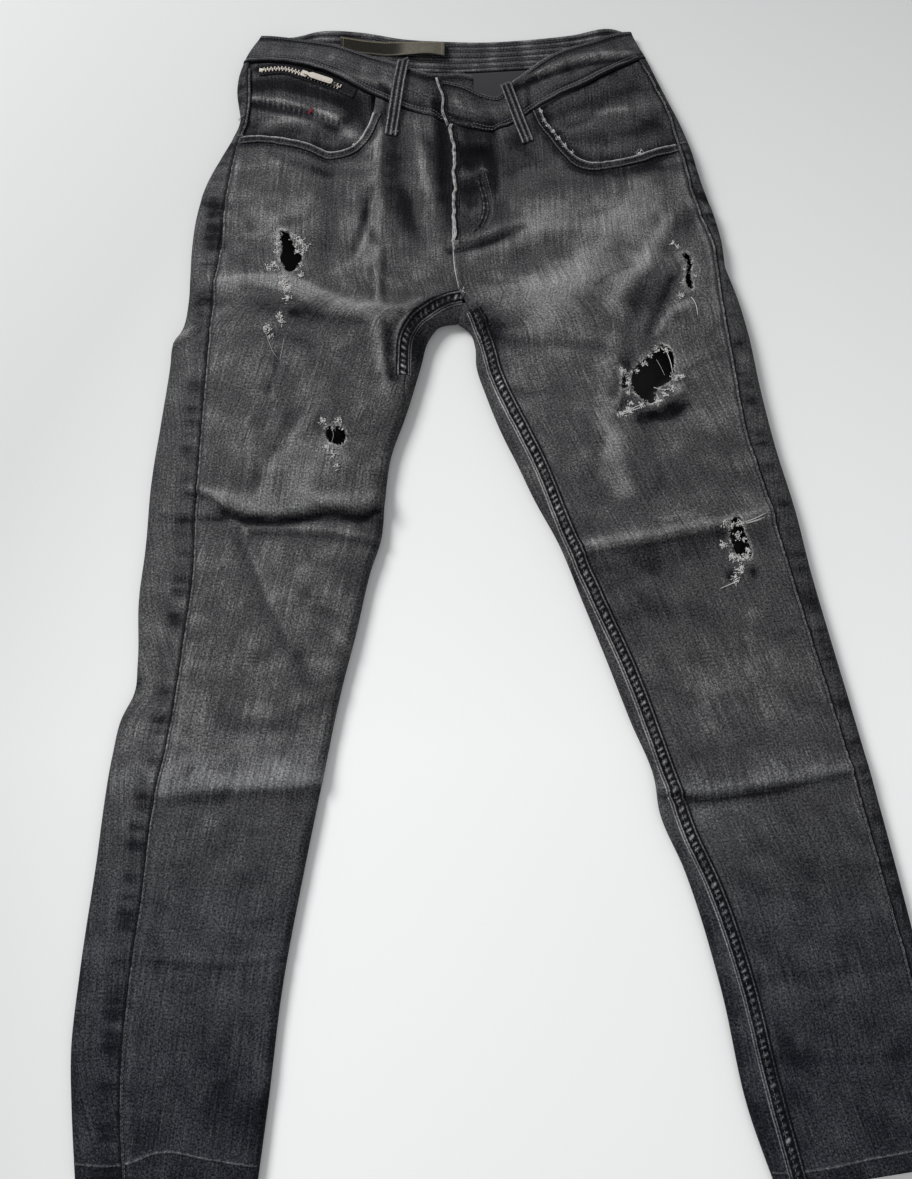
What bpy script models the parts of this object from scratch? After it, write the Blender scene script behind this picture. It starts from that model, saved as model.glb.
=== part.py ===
"""Ripped slim jeans laid flat on a surface, front up, waist a little open.

Metres, +Z up, +Y towards the waist, +X towards the wearer's left. The origin
lies under the middle of the laid garment, on the surface that it rests on.

The lists below are plan sizes in millimetres. The two halves share one height
rule: a flat underside, edges rounded where the cloth folds over, and a crowned
upper side with the main folds. Each panel is a patch of that one surface.
"""

import math

import bmesh
import bpy
import numpy as np

MM = 0.001

# Middle of the laid garment in the plan lists
MIDDLE = np.array([48.45, 237.75])

# Cloth
WALL = 1.5
BAND_WALL = 2.6
LOOP_WALL = 1.3
SEAM_GAP = 0.4
UNDER_GAP = 0.45

# A point nearer than this to a folded edge lies on it
ON_LINE = 0.4

# Half of the thickness at a folded edge, at the hem and at the hips
EDGE_RISE_HEM = 5.0
EDGE_RISE_HIP = 7.5
# Plan width of the rounded edge, as a share of its rise
EDGE_REACH = 1.3
# Seat raised over the back pockets and the back belt loops that it lies on
SEAT_RAISE = 1.9
SEAT_RAISE_FROM = 475.0
SEAT_RAISE_OVER = 30.0

# Plan outlines, hip part from the waist seam and leg part to the hem
OUTER_RIGHT_BAND = [(-208, 790), (-219, 772), (-226, 755)]
OUTER_RIGHT_HIP = [(-226, 755), (-230, 738), (-231, 720), (-228, 700), (-226, 688), (-233, 663),
                   (-243, 642), (-257, 610), (-265, 575), (-268, 540), (-268, 505)]
OUTER_RIGHT_LEG = [(-268, 505), (-268, 478), (-272, 448), (-281, 430), (-282, 410), (-287, 353),
                   (-293, 285), (-294, 225), (-297, 172), (-294, 115), (-295, 88), (-306, 62),
                   (-311, 32), (-319, -69), (-326, -160), (-328, -216), (-323, -268), (-316, -319)]
OUTER_LEFT_BAND = [(187, 795), (194, 778), (203, 760)]
OUTER_LEFT_HIP = [(203, 760), (212, 736), (222, 711), (232, 687), (244, 652), (253, 612),
                  (263, 578), (270, 546), (272, 516)]
OUTER_LEFT_LEG = [(272, 516), (282, 483), (290, 448), (299, 384), (310, 322), (324, 261),
                  (334, 203), (346, 145), (358, 90), (375, 9), (394, -94), (410, -192),
                  (420, -262), (425, -301)]
CROTCH = (8, 475)
GAP_TOP = (2, 455)
INNER_RIGHT = [GAP_TOP, (-17, 451), (-26, 439), (-35, 407), (-48, 360), (-63, 313), (-68, 270),
               (-71, 232), (-80, 203), (-92, 146), (-105, 90), (-120, 9), (-134, -69),
               (-150, -169), (-158, -256), (-165, -322)]
INNER_LEFT = [GAP_TOP, (14, 445), (19, 430), (20, 410), (30, 377), (48, 331), (58, 310),
              (75, 272), (98, 227), (118, 174), (139, 118), (159, 62), (179, 9), (182, -18),
              (202, -69), (229, -169), (246, -263), (266, -325)]
OUTSEAM_RIGHT_HIP = [(-219, 752), (-218, 725), (-217, 700), (-219, 680), (-225, 655), (-230, 620),
                     (-234, 577), (-235, 535), (-239, 500)]
OUTSEAM_RIGHT_LEG = [(-239, 500), (-240, 470), (-241, 438), (-242, 404), (-244, 328), (-245, 245),
                     (-244, 205), (-250, 130), (-260, 37), (-268, -10), (-274, -95), (-280, -165),
                     (-281, -256), (-275, -313)]
OUTSEAM_LEFT_HIP = [(194, 755), (204, 736), (213, 712), (223, 686), (230, 653), (237, 624),
                    (242, 595), (251, 563), (260, 535), (262, 510)]
OUTSEAM_LEFT_LEG = [(262, 510), (264, 473), (267, 442), (271, 405), (280, 331), (291, 289),
                    (312, 199), (329, 126), (346, 56), (366, -35), (380, -103), (390, -150),
                    (397, -207), (402, -260), (405, -304)]
FRONT_MIDDLE = [(-7, 667), (-3, 627), (-3, 580), (-3, 532), (-1, 504), (3, 486), CROTCH]
BACK_MIDDLE = [(0, 747), (4, 610), CROTCH]
INSEAM_LEFT = [CROTCH, (18, 455), (28, 426), (35, 398), (47, 368), (59, 343), (76, 306),
               (99, 245), (123, 185), (157, 103), (184, 23), (204, -40), (220, -77), (246, -162),
               (262, -241), (281, -322)]
# The right inseam shows near the crotch only, then lies on the underside
INSEAM_RIGHT = [CROTCH, (-8, 471), (-24, 462), (-38, 449), (-46, 434), (-48, 412), (-48, 396)]
INSEAM_RIGHT_SHOWS = 0.12
INSEAM_RIGHT_INSET = -10.4
INSEAM_RIGHT_TUCK = 16.0
INSEAM_RIGHT_TUCK_OVER = 0.1
INSEAM_RIGHT_TURN = 0.16
INSEAM_RIGHT_TURN_REACH = 0.095
INSEAM_RIGHT_TURN_GAP = 1.2

WAIST_SEAM_RIGHT = [(-219, 752), (-199, 750), (-163, 741), (-126, 725), (-97, 706), (-78, 695),
                    (-52, 682), (-27, 674), (-7, 667)]
WAIST_SEAM_LEFT = [(194, 755), (160, 732), (132, 713), (106, 698), (83, 683), (62, 668),
                   (41, 659), (15, 661), (-7, 667)]
UNDERLAP_SEAM = [(6, 664), (18, 662)]
BAND_TOP_RIGHT = [(-208, 790), (-190, 786), (-165, 779), (-128, 767), (-100, 753), (-79, 743),
                  (-58, 735), (-37, 725), (-21, 721), (-7, 721), (6, 721), (18, 718)]
BAND_TOP_LEFT = [(187, 795), (170, 790), (144, 776), (98, 748), (70, 723), (53, 706), (42, 694),
                 (28, 696), (7, 705), (-17, 711)]
BACK_SEAM = [(-226, 755), (0, 747), (203, 760)]
BACK_TOP = [(-208, 790), (-172, 792), (-146, 799), (-106, 798), (-56, 789), (-11, 786), (26, 785),
            (75, 788), (125, 794), (168, 802), (187, 795)]

# Front pocket mouths, and how far their facings reach into the panel's grid
MOUTH_RIGHT = [(-240, 661), (-222, 660), (-196, 658), (-172, 652), (-148, 644), (-124, 635),
               (-110, 638), (-99, 648), (-91, 663), (-85, 680), (-82, 700)]
MOUTH_RIGHT_CORNER = [(-82, 740), (-150, 790), (-260, 790)]
MOUTH_LEFT = [(84, 708), (86, 684), (92, 670), (102, 655), (112, 640), (124, 627), (138, 622),
              (156, 624), (181, 631), (204, 642), (226, 650), (250, 657)]
MOUTH_LEFT_CORNER = [(260, 790), (160, 790), (84, 740)]

# Rips that go right through the front, as plan outlines
RIPS_RIGHT = {
    "hip_rip": [(-173, 539), (-166, 538), (-163, 518), (-154, 514), (-158, 498), (-166, 493),
                (-175, 498), (-174, 505), (-167, 509), (-172, 518)],
    "thigh_rip_small": [(-124, 337), (-118, 336), (-117, 325), (-123, 326)],
    "thigh_rip": [(-115, 336), (-110, 342), (-105, 334), (-106, 323), (-113, 321), (-116, 326)],
}
RIPS_LEFT = {
    "hip_slit": [(223, 521), (229, 517), (235, 509), (231, 492), (225, 486), (226, 501)],
    "thigh_rip": [(198, 420), (203, 408), (208, 396), (203, 389), (206, 379), (193, 368),
                  (182, 360), (171, 364), (168, 378), (171, 393), (179, 405), (189, 414)],
    "thigh_slit": [(160, 392), (164, 394), (165, 379), (161, 377)],
    "knee_rip": [(249, 238), (256, 241), (262, 238), (259, 231), (267, 226), (266, 218),
                 (259, 219), (254, 225), (250, 231)],
}
RIP_CUT_LOW = 9.0
RIP_CUT_HIGH = 60.0

# Main folds: line, half width, height above the crown
FOLDS = [
    ([(-216, 268), (-180, 262), (-154, 264), (-129, 268), (-88, 268), (-75, 274)], 9.0, 4.0),
    ([(-216, 256), (-203, 250), (-180, 249), (-154, 251), (-129, 256), (-88, 255)], 7.0, -3.5),
    ([(-202, 233), (-187, 192), (-169, 156), (-155, 133)], 9.0, -2.0),
    ([(-236, 488), (-202, 482), (-161, 473), (-136, 467), (-110, 456), (-73, 446)], 12.0, 3.0),
    ([(-230, 470), (-190, 462), (-140, 448), (-90, 428)], 12.0, -2.0),
    ([(-90, 459), (-53, 462), (-30, 472)], 9.0, 2.5),
    ([(-76, 440), (-72, 412), (-66, 379)], 8.0, 3.0),
    ([(-60, 440), (-60, 412), (-58, 392)], 6.0, -2.0),
    ([(-134, 650), (-129, 592), (-130, 514)], 10.0, -2.5),
    ([(-79, 640), (-84, 560), (-76, 470)], 11.0, 3.0),
    ([(190, 590), (133, 509), (82, 439)], 22.0, 3.0),
    ([(230, 471), (194, 425), (158, 370)], 12.0, -2.5),
    ([(44, 525), (74, 538), (104, 547)], 10.0, 2.5),
    ([(30, 500), (70, 512), (110, 520)], 10.0, -2.0),
    ([(152, 387), (137, 336), (131, 296)], 12.0, 2.5),
    ([(100, 214), (181, 224), (257, 243), (300, 256)], 11.0, 3.5),
    ([(110, 202), (181, 211), (257, 229), (300, 240)], 10.0, -2.5),
    ([(180, 2), (252, 6), (368, 18)], 12.0, 2.0),
    ([(-300, 14), (-201, 12), (-112, 16)], 12.0, 2.0),
    ([(-278, 431), (-237, 442)], 9.0, 3.0),
    ([(-141, 80), (-105, 98)], 10.0, 2.0),
]

# Crown: height over the folded edges and how far in it is reached, by plan Y
CROWN_AT = [-330, -200, 0, 200, 330, 450, 560, 700, 800]
CROWN_HIGH = [3.0, 5.0, 7.0, 8.5, 11.0, 14.0, 15.0, 12.0, 9.0]
CROWN_REACH = [60, 70, 75, 80, 90, 105, 120, 120, 110]

# Waist: the middle of the front stands up, its sides droop to the fold
WAIST_LIFT = 11.0
WAIST_LIFT_FROM = 655.0
WAIST_LIFT_OVER = 62.0
WAIST_LIFT_WIDTH = 85.0
WAIST_DROOP = 7.0
WAIST_DROOP_FROM = 735.0
WAIST_DROOP_OVER = 50.0
BAND_HIGH = 43.0
BAND_CLEAR = 1.0
BAND_PROUD = 0.6
UNDERLAP_DROP = 3.7
UNDERLAP_FROM = -62.0
UNDERLAP_OVER = 36.0

# Fly: the left front's edge lies over the shield that closes the gap
FLY_LIFT = 1.5
FLY_WIDE = 36.0
FLY_SOFT = 10.0
FLY_END = 0.86
FLY_FADE = 0.12
FACING_WALL = 1.3
SHIELD_GAP = 0.95

# Shares of each length where the rows of the grid lie
HIP_LONG = 260.0
HIP_ROWS = [0.0, 0.1, 0.2, 0.32, 0.44, 0.56, 0.68, 0.8, 0.9, 1.0]
YOKE_ROW = 2
GAP_SHARE = 0.025
LEG_ROWS = [0.0125, GAP_SHARE, 0.042, 0.06, 0.085, 0.11, 0.14, 0.17]
LEG_ROW_STEP = 0.0345
FRONT_COLUMNS = 11
UNDER_COLUMNS = 5
BAND_COLUMNS = 11
BAND_BACK_COLUMNS = 14
CORNER = 1 - math.cos(math.pi / 4)

# Belt loops: top and foot on the front, places along the back
LOOP_WIDE = 12.5
LOOPS_FRONT = {"belt_loop_front_right": ((-54, 738), (-67, 653)),
               "belt_loop_front_left": ((50, 708), (73, 645))}
LOOPS_BACK = {"belt_loop_back_right": -122.0, "belt_loop_back_middle": 2.0,
              "belt_loop_back_left": 118.0}
LOOP_ARCH = 1.6
LOOP_CLEAR = 0.3
LOOP_BACK_SPAN = (738.0, 784.0)

BACK_POCKET_WALL = 1.4
BACK_POCKETS = {
    "back_pocket_right": [(-180, 700), (-46, 698), (-49, 582), (-113, 546), (-177, 584)],
    "back_pocket_left": [(56, 698), (190, 700), (187, 584), (123, 546), (59, 582)],
}

# Bare label sewn inside the back of the waistband
LABEL = [(-124, 783), (-100, 779), (-76, 776), (-60, 775), (-44, 773), (-28, 773), (-12, 773)]
LABEL_HIGH = 17.0
LABEL_WALL = 1.0
LABEL_ARCH = [0.0, 0.0, 0.3, 1.5, 4.0, 5.0, 2.5]

# Zip of the small pocket, on the right pocket facing
ZIP_LINE = [(-206, 738), (-180, 737), (-160, 729), (-140, 720), (-121, 711), (-104, 703)]
ZIP_WIDE = 11.0
ZIP_TAPE_WALL = 0.8
ZIP_CLEAR = 0.5
SLIDER_AT = (-157, 727.5)
SLIDER_TOWARDS = (-121, 711)
SLIDER_SIZE = (8.0, 7.0, 2.4)
PULL_LONG = 33.0
PULL_WIDE = 6.5
PULL_THICK = 1.2
PULL_NECK = 3.2
PULL_CLEAR = 0.35

COLOURS = {
    "denim": (0.055, 0.055, 0.060),
    "denim_worn": (0.085, 0.085, 0.088),
    "denim_inside": (0.150, 0.150, 0.155),
    "label": (0.110, 0.095, 0.065),
    "tape": (0.015, 0.015, 0.016),
    "metal": (0.620, 0.590, 0.520),
}


def soft_step(x):
    """0 below 0, 1 above 1, with a smooth rise between."""
    x = np.clip(x, 0.0, 1.0)
    return x * x * (3 - 2 * x)


def smooth(points, steps=8):
    """A smooth curve through the points, as a dense line of points."""
    p = np.array(points, float)
    gap = np.linalg.norm(np.diff(p, axis=0), axis=1)[:, None]
    slope = np.diff(p, axis=0) / gap
    inner = (slope[:-1] * gap[1:] + slope[1:] * gap[:-1]) / (gap[:-1] + gap[1:])
    tangent = np.vstack([slope[:1], inner, slope[-1:]])
    t = np.linspace(0, 1, steps, endpoint=False)[:, None]
    runs = []
    for i in range(len(p) - 1):
        start = (2 * t**3 - 3 * t**2 + 1) * p[i] + (t**3 - 2 * t**2 + t) * gap[i] * tangent[i]
        end = (3 * t**2 - 2 * t**3) * p[i + 1] + (t**3 - t**2) * gap[i] * tangent[i + 1]
        runs.append(start + end)
    runs.append(p[-1:])
    return np.vstack(runs)


def lengths(line):
    """The distance along a line to each of its points."""
    return np.concatenate([[0.0], np.cumsum(np.linalg.norm(np.diff(line, axis=0), axis=1))])


def at_share(line, share):
    """The point of a dense line at a share of its length."""
    run = lengths(line)
    return np.array([np.interp(share * run[-1], run, line[:, k]) for k in (0, 1)])


def at_distance(line, distance):
    """The point of a line at a distance from its start."""
    run = lengths(line)
    return np.array([np.interp(distance, run, line[:, k]) for k in (0, 1)])


def joined(*lines):
    """Lines that meet end to end, as one line."""
    return np.vstack([lines[0]] + [line[1:] for line in lines[1:]])


def distance_to(points, line, hand=1):
    """The distance from each point to a line of points, and the way away from it.

    On the line itself the way is square to it, to its left where hand is 1.
    """
    a, b = line[:-1], line[1:]
    run = b - a
    share = ((points[:, None] - a) * run).sum(2) / np.maximum((run**2).sum(1), 1e-9)
    foot = a + np.clip(share, 0, 1)[:, :, None] * run
    away = points[:, None] - foot
    far = np.linalg.norm(away, axis=2)
    nearest = far.argmin(1)
    rows = np.arange(len(points))
    far, away = far[rows, nearest], away[rows, nearest]
    square = hand * np.column_stack([-run[nearest, 1], run[nearest, 0]])
    square = square / np.linalg.norm(square, axis=1, keepdims=True)
    away = away / np.maximum(far, 1e-6)[:, None]
    return far, np.where((far < ON_LINE)[:, None], square, away)


class Half:
    """The plan lines of one half of the garment, -1 for the right and 1 for the left."""

    def __init__(self, side):
        right = side < 0
        part = SEAM_GAP / 2 * side
        self.side = side
        self.outer = (smooth(OUTER_RIGHT_HIP if right else OUTER_LEFT_HIP),
                      smooth(OUTER_RIGHT_LEG if right else OUTER_LEFT_LEG))
        self.outseam = (smooth(OUTSEAM_RIGHT_HIP if right else OUTSEAM_LEFT_HIP),
                        smooth(OUTSEAM_RIGHT_LEG if right else OUTSEAM_LEFT_LEG))
        self.front_middle = smooth(FRONT_MIDDLE) + (part, 0)
        self.back_middle = smooth(BACK_MIDDLE) + (part, 0)
        self.inseam = smooth(INSEAM_RIGHT if right else INSEAM_LEFT) + (part, 0)
        self.inner = smooth(INNER_RIGHT if right else INNER_LEFT)
        self.waist = smooth(WAIST_SEAM_RIGHT if right else WAIST_SEAM_LEFT)
        self.crotch = np.array(CROTCH, float) + (part, 0)
        self.gap_top = np.array(GAP_TOP, float) + (part, 0)

    def outer_at(self, v):
        return at_share(self.outer[int(v > 1)], v - int(v > 1))

    def outseam_at(self, v):
        return at_share(self.outseam[int(v > 1)], v - int(v > 1))

    def inner_at(self, v, line):
        """The inner end of row v: the middle line over the crotch, then the gap's edge."""
        if v <= 1:
            return at_share(line, v)
        share = v - 1
        if share <= GAP_SHARE:
            return self.crotch + (self.gap_top - self.crotch) * share / GAP_SHARE
        point = at_share(self.inner, (share - GAP_SHARE) / (1 - GAP_SHARE))
        return point + (SEAM_GAP / 2 * self.side * (share < 2 * GAP_SHARE), 0)

    def inseam_at(self, v):
        """(the point where the inseam crosses row v, how far it lies round the inner edge)."""
        share = v - 1
        if self.side > 0:
            return at_share(self.inseam, share), None
        if share <= INSEAM_RIGHT_SHOWS:
            return at_share(self.inseam, share / INSEAM_RIGHT_SHOWS), None
        past = float(soft_step((share - INSEAM_RIGHT_SHOWS) / INSEAM_RIGHT_TUCK_OVER))
        return None, INSEAM_RIGHT_INSET + (INSEAM_RIGHT_TUCK - INSEAM_RIGHT_INSET) * past

    def inseam_gap(self, v):
        """Half the gap at the inseam, wider where it turns round the folded edge."""
        if v <= 1:
            return 0.0
        turns = self.side < 0 and abs(v - 1 - INSEAM_RIGHT_TURN) < INSEAM_RIGHT_TURN_REACH
        return INSEAM_RIGHT_TURN_GAP if turns else SEAM_GAP / 2

    def top_row(self, v):
        """(the row's plan line on the upper side, distance to the outseam, inseam's place).

        The place is measured from the inner end: below 0 on the upper side, above 0
        on the underside.
        """
        outer, outseam = self.outer_at(v), self.outseam_at(v)
        if v <= 1:
            end = self.inner_at(v, self.front_middle)
            shares = np.linspace(0, 1, 33)
            straight = outseam + np.outer(shares, end - outseam)
            chord = self.waist[0] + np.outer(shares, self.waist[-1] - self.waist[0])
            bow = np.array([at_share(self.waist, s) for s in shares]) - chord
            line = np.vstack([[outer], straight + (1 - v) ** 1.5 * bow])
            return line, np.linalg.norm(outseam - outer), 0.0
        inner = self.inner_at(v, None)
        inseam, tuck = self.inseam_at(v)
        if inseam is None:
            line = np.array([outer, outseam, inner])
            return line, np.linalg.norm(outseam - outer), tuck
        line = np.array([outer, outseam, inseam, inner])
        return line, np.linalg.norm(outseam - outer), -np.linalg.norm(inner - inseam)

    def under_row(self, v):
        """The row's plan line on the underside, from its inner end to its outer end."""
        inner = self.inner_at(v, self.back_middle)
        return np.array([inner, self.outer_at(v)])


RIGHT = Half(-1)
LEFT = Half(1)
# Folded edges, each with the hand on which the cloth lies
EDGE_LINES = [
    (joined(smooth(OUTER_RIGHT_BAND), *RIGHT.outer), 1),
    (joined(smooth(OUTER_LEFT_BAND), *LEFT.outer), -1),
    (joined(smooth(INNER_RIGHT)[::-1], smooth(INNER_LEFT)), 1),
]
FOLD_LINES = [(smooth(line), width, high) for line, width, high in FOLDS]


def edge_rise(plan):
    """Half the thickness of the laid garment at its folded edges."""
    share = soft_step((plan[:, 1] + 250) / 750)
    return EDGE_RISE_HEM + (EDGE_RISE_HIP - EDGE_RISE_HEM) * share


def edge_distance(plan):
    """Distance to the nearest folded edge, and the way away from it."""
    found = [distance_to(plan, line, hand) for line, hand in EDGE_LINES]
    far = np.array([f for f, _ in found])
    nearest = far.argmin(0)
    rows = np.arange(len(plan))
    away = np.array([a for _, a in found])[nearest, rows]
    return far, far[nearest, rows], away


def roundness(plan, near):
    """0 at a folded edge and 1 past its rounded stretch."""
    inward = 1 - np.minimum(near / (EDGE_REACH * edge_rise(plan)), 1)
    return np.sqrt(np.maximum(1 - inward**2, 0))


def waist_shape(plan):
    """How the open waist lifts in its middle and droops at its sides."""
    x, y = plan[:, 0], plan[:, 1]
    middle = np.exp(-(((x - 6) / WAIST_LIFT_WIDTH) ** 2))
    lift = WAIST_LIFT * soft_step((y - WAIST_LIFT_FROM) / WAIST_LIFT_OVER) * middle
    droop = WAIST_DROOP * soft_step((y - WAIST_DROOP_FROM) / WAIST_DROOP_OVER) * (1 - middle)
    return lift - droop


def crown(plan, far):
    """Height of the upper side over a flat sheet at the folded edges' height."""
    y = plan[:, 1]
    inner = np.sum(far ** -4.0, axis=0) ** (-1 / 4)
    share = 1 - np.minimum(inner / np.interp(y, CROWN_AT, CROWN_REACH), 1)
    height = np.interp(y, CROWN_AT, CROWN_HIGH) * (1 - share**2) + waist_shape(plan)
    for line, width, high in FOLD_LINES:
        height = height + high * np.exp(-((distance_to(plan, line)[0] / width) ** 2))
    return height


def surface(plan, upper):
    """(points, outward normals) of the cloth's outer face over plan points."""
    plan = np.atleast_2d(np.array(plan, float))
    upper = np.broadcast_to(upper, len(plan))
    far, near, away = edge_distance(plan)
    far = np.maximum(far, 0.01)
    rise = edge_rise(plan)
    full = roundness(plan, near)
    top = rise + full * (rise + crown(plan, far))
    raised = SEAT_RAISE * soft_step((plan[:, 1] - SEAT_RAISE_FROM) / SEAT_RAISE_OVER)
    under = rise * (1 - full) + raised * full
    points = np.column_stack([plan, np.where(upper, top, under)])

    step = 0.5
    slope = []
    for k in (0, 1):
        moved = plan.copy()
        moved[:, k] += step
        moved_far = np.maximum(edge_distance(moved)[0], 0.01)
        slope.append((crown(moved, moved_far) - crown(plan, far)) / step)
    slope = np.column_stack(slope)
    turn = np.sqrt(np.maximum(1 - full**2, 0))[:, None]
    reach = EDGE_REACH
    flat = (full * reach)[:, None]
    out = np.where(upper[:, None], -flat * slope * full[:, None], 0.0) - turn * away
    normal = np.column_stack([out, np.where(upper, flat[:, 0], -flat[:, 0])])
    length = np.maximum(np.linalg.norm(normal, axis=1, keepdims=True), 1e-6)
    return points, normal / length


def new_object(name, verts, faces, colour, roughness_value=0.85, metallic=0.0, origin=None):
    """A mesh object from points in millimetres, with its own material."""
    verts = np.array(verts, float)
    verts[:, :2] -= MIDDLE
    place = np.zeros(3) if origin is None else np.array(origin, float)
    if origin is not None:
        place[:2] -= MIDDLE
    mesh = bpy.data.meshes.new(name)
    mesh.from_pydata([tuple(p) for p in (verts - place) * MM], [], faces)
    work = bmesh.new()
    work.from_mesh(mesh)
    bmesh.ops.recalc_face_normals(work, faces=work.faces)
    work.to_mesh(mesh)
    work.free()
    material = bpy.data.materials.new(name)
    material.use_nodes = True
    shader = material.node_tree.nodes["Principled BSDF"]
    shader.inputs["Base Color"].default_value = (*colour, 1.0)
    shader.inputs["Roughness"].default_value = roughness_value
    shader.inputs["Metallic"].default_value = metallic
    material.diffuse_color = (*colour, 1.0)
    mesh.materials.append(material)
    thing = bpy.data.objects.new(name, mesh)
    thing.location = place * MM
    bpy.context.scene.collection.objects.link(thing)
    return thing


def halves(ring, verts):
    """A cell as triangles, parted along its shorter diagonal."""
    if len(ring) == 3:
        return [ring]
    a, b, c, d = ring
    if np.linalg.norm(verts[a] - verts[c]) <= np.linalg.norm(verts[b] - verts[d]):
        return [[a, b, c], [a, c, d]]
    return [[a, b, d], [b, c, d]]


def wall(name, outer, normal, cells, thick, colour):
    """A closed wall: the outer points, the same moved in by its thickness, and rims."""
    keys = sorted({key for cell in cells for key in cell})
    index = {key: i for i, key in enumerate(keys)}
    count = len(keys)
    verts = [outer[key] for key in keys] + [outer[key] - thick * normal[key] for key in keys]
    faces, uses = [], {}
    for cell in cells:
        ring = [index[key] for key in cell]
        for part in halves(ring, verts):
            faces.append(part)
            faces.append([count + i for i in reversed(part)])
        for a, b in zip(ring, ring[1:] + ring[:1]):
            uses.setdefault((min(a, b), max(a, b)), []).append((a, b))
    for edges in uses.values():
        if len(edges) == 1:
            a, b = edges[0]
            faces.append([b, a, count + a, count + b])
    return new_object(name, verts, faces, colour)


def grid_cells(rows, columns):
    """The quads of a grid of keys (row, column)."""
    return [((r, c), (r + 1, c), (r + 1, c + 1), (r, c + 1))
            for r in range(rows - 1) for c in range(columns - 1)]


def leg_rows():
    """The shares of the leg's length where rows lie, down to the hem."""
    count = round((1 - LEG_ROWS[-1]) / LEG_ROW_STEP)
    return LEG_ROWS + list(np.linspace(LEG_ROWS[-1], 1, count + 1)[1:])


ROWS = HIP_ROWS + [1 + share for share in leg_rows()]


def shrunk(rows, first, last):
    """Rows first to last, with the two end rows drawn in by half a seam gap."""
    picked = list(rows[first:last + 1])
    drawn = SEAM_GAP / 2 / HIP_LONG
    picked[0] += drawn
    if last < len(rows) - 1:
        picked[-1] -= drawn
    return picked


def rounded_places(reach):
    """Places across a folded edge, from the upper side to the underside."""
    return [-reach, -CORNER * reach, 0.0, CORNER * reach, reach]


def row_point(top, under, place):
    """(plan point, on the upper side) at a place from the inner end of a row."""
    if place <= 0:
        return at_distance(top[::-1], -place), True
    return at_distance(under, place), False


def inner_reach(half, v):
    """Plan width of the rounded edge at the inner end of row v."""
    end = half.inner_at(v, half.front_middle)
    return EDGE_REACH * float(edge_rise(end[None])[0])


def front_columns(half, v):
    """Plan points of the front panel's row v, from the outseam to its inner end."""
    top, seam, inseam = half.top_row(v)
    under = half.under_row(v)
    long = lengths(top)[-1]
    start, end = seam + SEAM_GAP / 2, inseam - half.inseam_gap(v)
    places = []
    if half.side < 0:
        places = rounded_places(inner_reach(half, v)) + [end]
        for k in range(len(places) - 2, -1, -1):
            places[k] = min(places[k], places[k + 1] - 3.0)
    last = long + (places[0] if places else end)
    main = np.linspace(start, last, FRONT_COLUMNS + 1)
    if places:
        main = main[:-1]
    found = [(at_distance(top, m), True) for m in main]
    found += [row_point(top, under, place) for place in places]
    return found


def back_columns(half, v):
    """Plan points of the back panel's row v, from the inseam round to the outseam."""
    top, seam, inseam = half.top_row(v)
    under = half.under_row(v)
    wide = lengths(under)[-1]
    reach = inner_reach(half, v)
    outer_reach = EDGE_REACH * float(edge_rise(under[-1:])[0])
    first = inseam + half.inseam_gap(v)
    places = [first] + rounded_places(reach)
    if v <= 1 + GAP_SHARE:
        places[1:3] = [first * 2 / 3, first / 3]
    for k in range(1, len(places)):
        if inseam > -reach and v > 1 + GAP_SHARE:
            places[k] = max(places[k], places[k - 1] + 2.0)
    places += list(np.linspace(places[-1], wide - outer_reach, UNDER_COLUMNS + 1)[1:])
    places.append(wide - CORNER * outer_reach)
    found = [row_point(top, under, place) for place in places]
    found.append((top[0], True))
    end = seam - SEAM_GAP / 2
    bend = min(outer_reach, end - 2.0)
    for out in (min(CORNER * outer_reach, bend - 2.0), bend, end):
        found.append((at_distance(top, out), True))
    return found


def points_of(rows_of_plan):
    """Outer points and normals, keyed (row, column), from rows of (plan, upper)."""
    keys = [(r, c) for r, row in enumerate(rows_of_plan) for c in range(len(row))]
    plan = np.array([rows_of_plan[r][c][0] for r, c in keys])
    upper = np.array([rows_of_plan[r][c][1] for r, c in keys])
    points, normals = surface(plan, upper)
    return dict(zip(keys, points)), dict(zip(keys, normals))


def fly_lift(v, from_middle):
    """How far the left front's fly edge lies over the right front."""
    across = soft_step((FLY_WIDE - from_middle) / FLY_SOFT)
    down = 1 - soft_step((v - FLY_END) / FLY_FADE)
    return FLY_LIFT * across * down


def front_panel(half, name):
    """One front: a patch from outseam to middle and inseam, waist seam to hem."""
    rows = shrunk(ROWS, 0, len(ROWS) - 1)
    plan_rows = [front_columns(half, v) for v in rows]
    outer, normal = points_of(plan_rows)
    if half.side > 0:
        for (r, c), point in outer.items():
            middle = plan_rows[r][-1][0]
            far = float(np.linalg.norm(point[:2] - middle))
            outer[r, c] = point + (0.0, 0.0, fly_lift(rows[r], far))
    cells = grid_cells(len(rows), len(plan_rows[0]))
    return wall(name, outer, normal, cells, WALL, COLOURS["denim_worn"])


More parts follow.
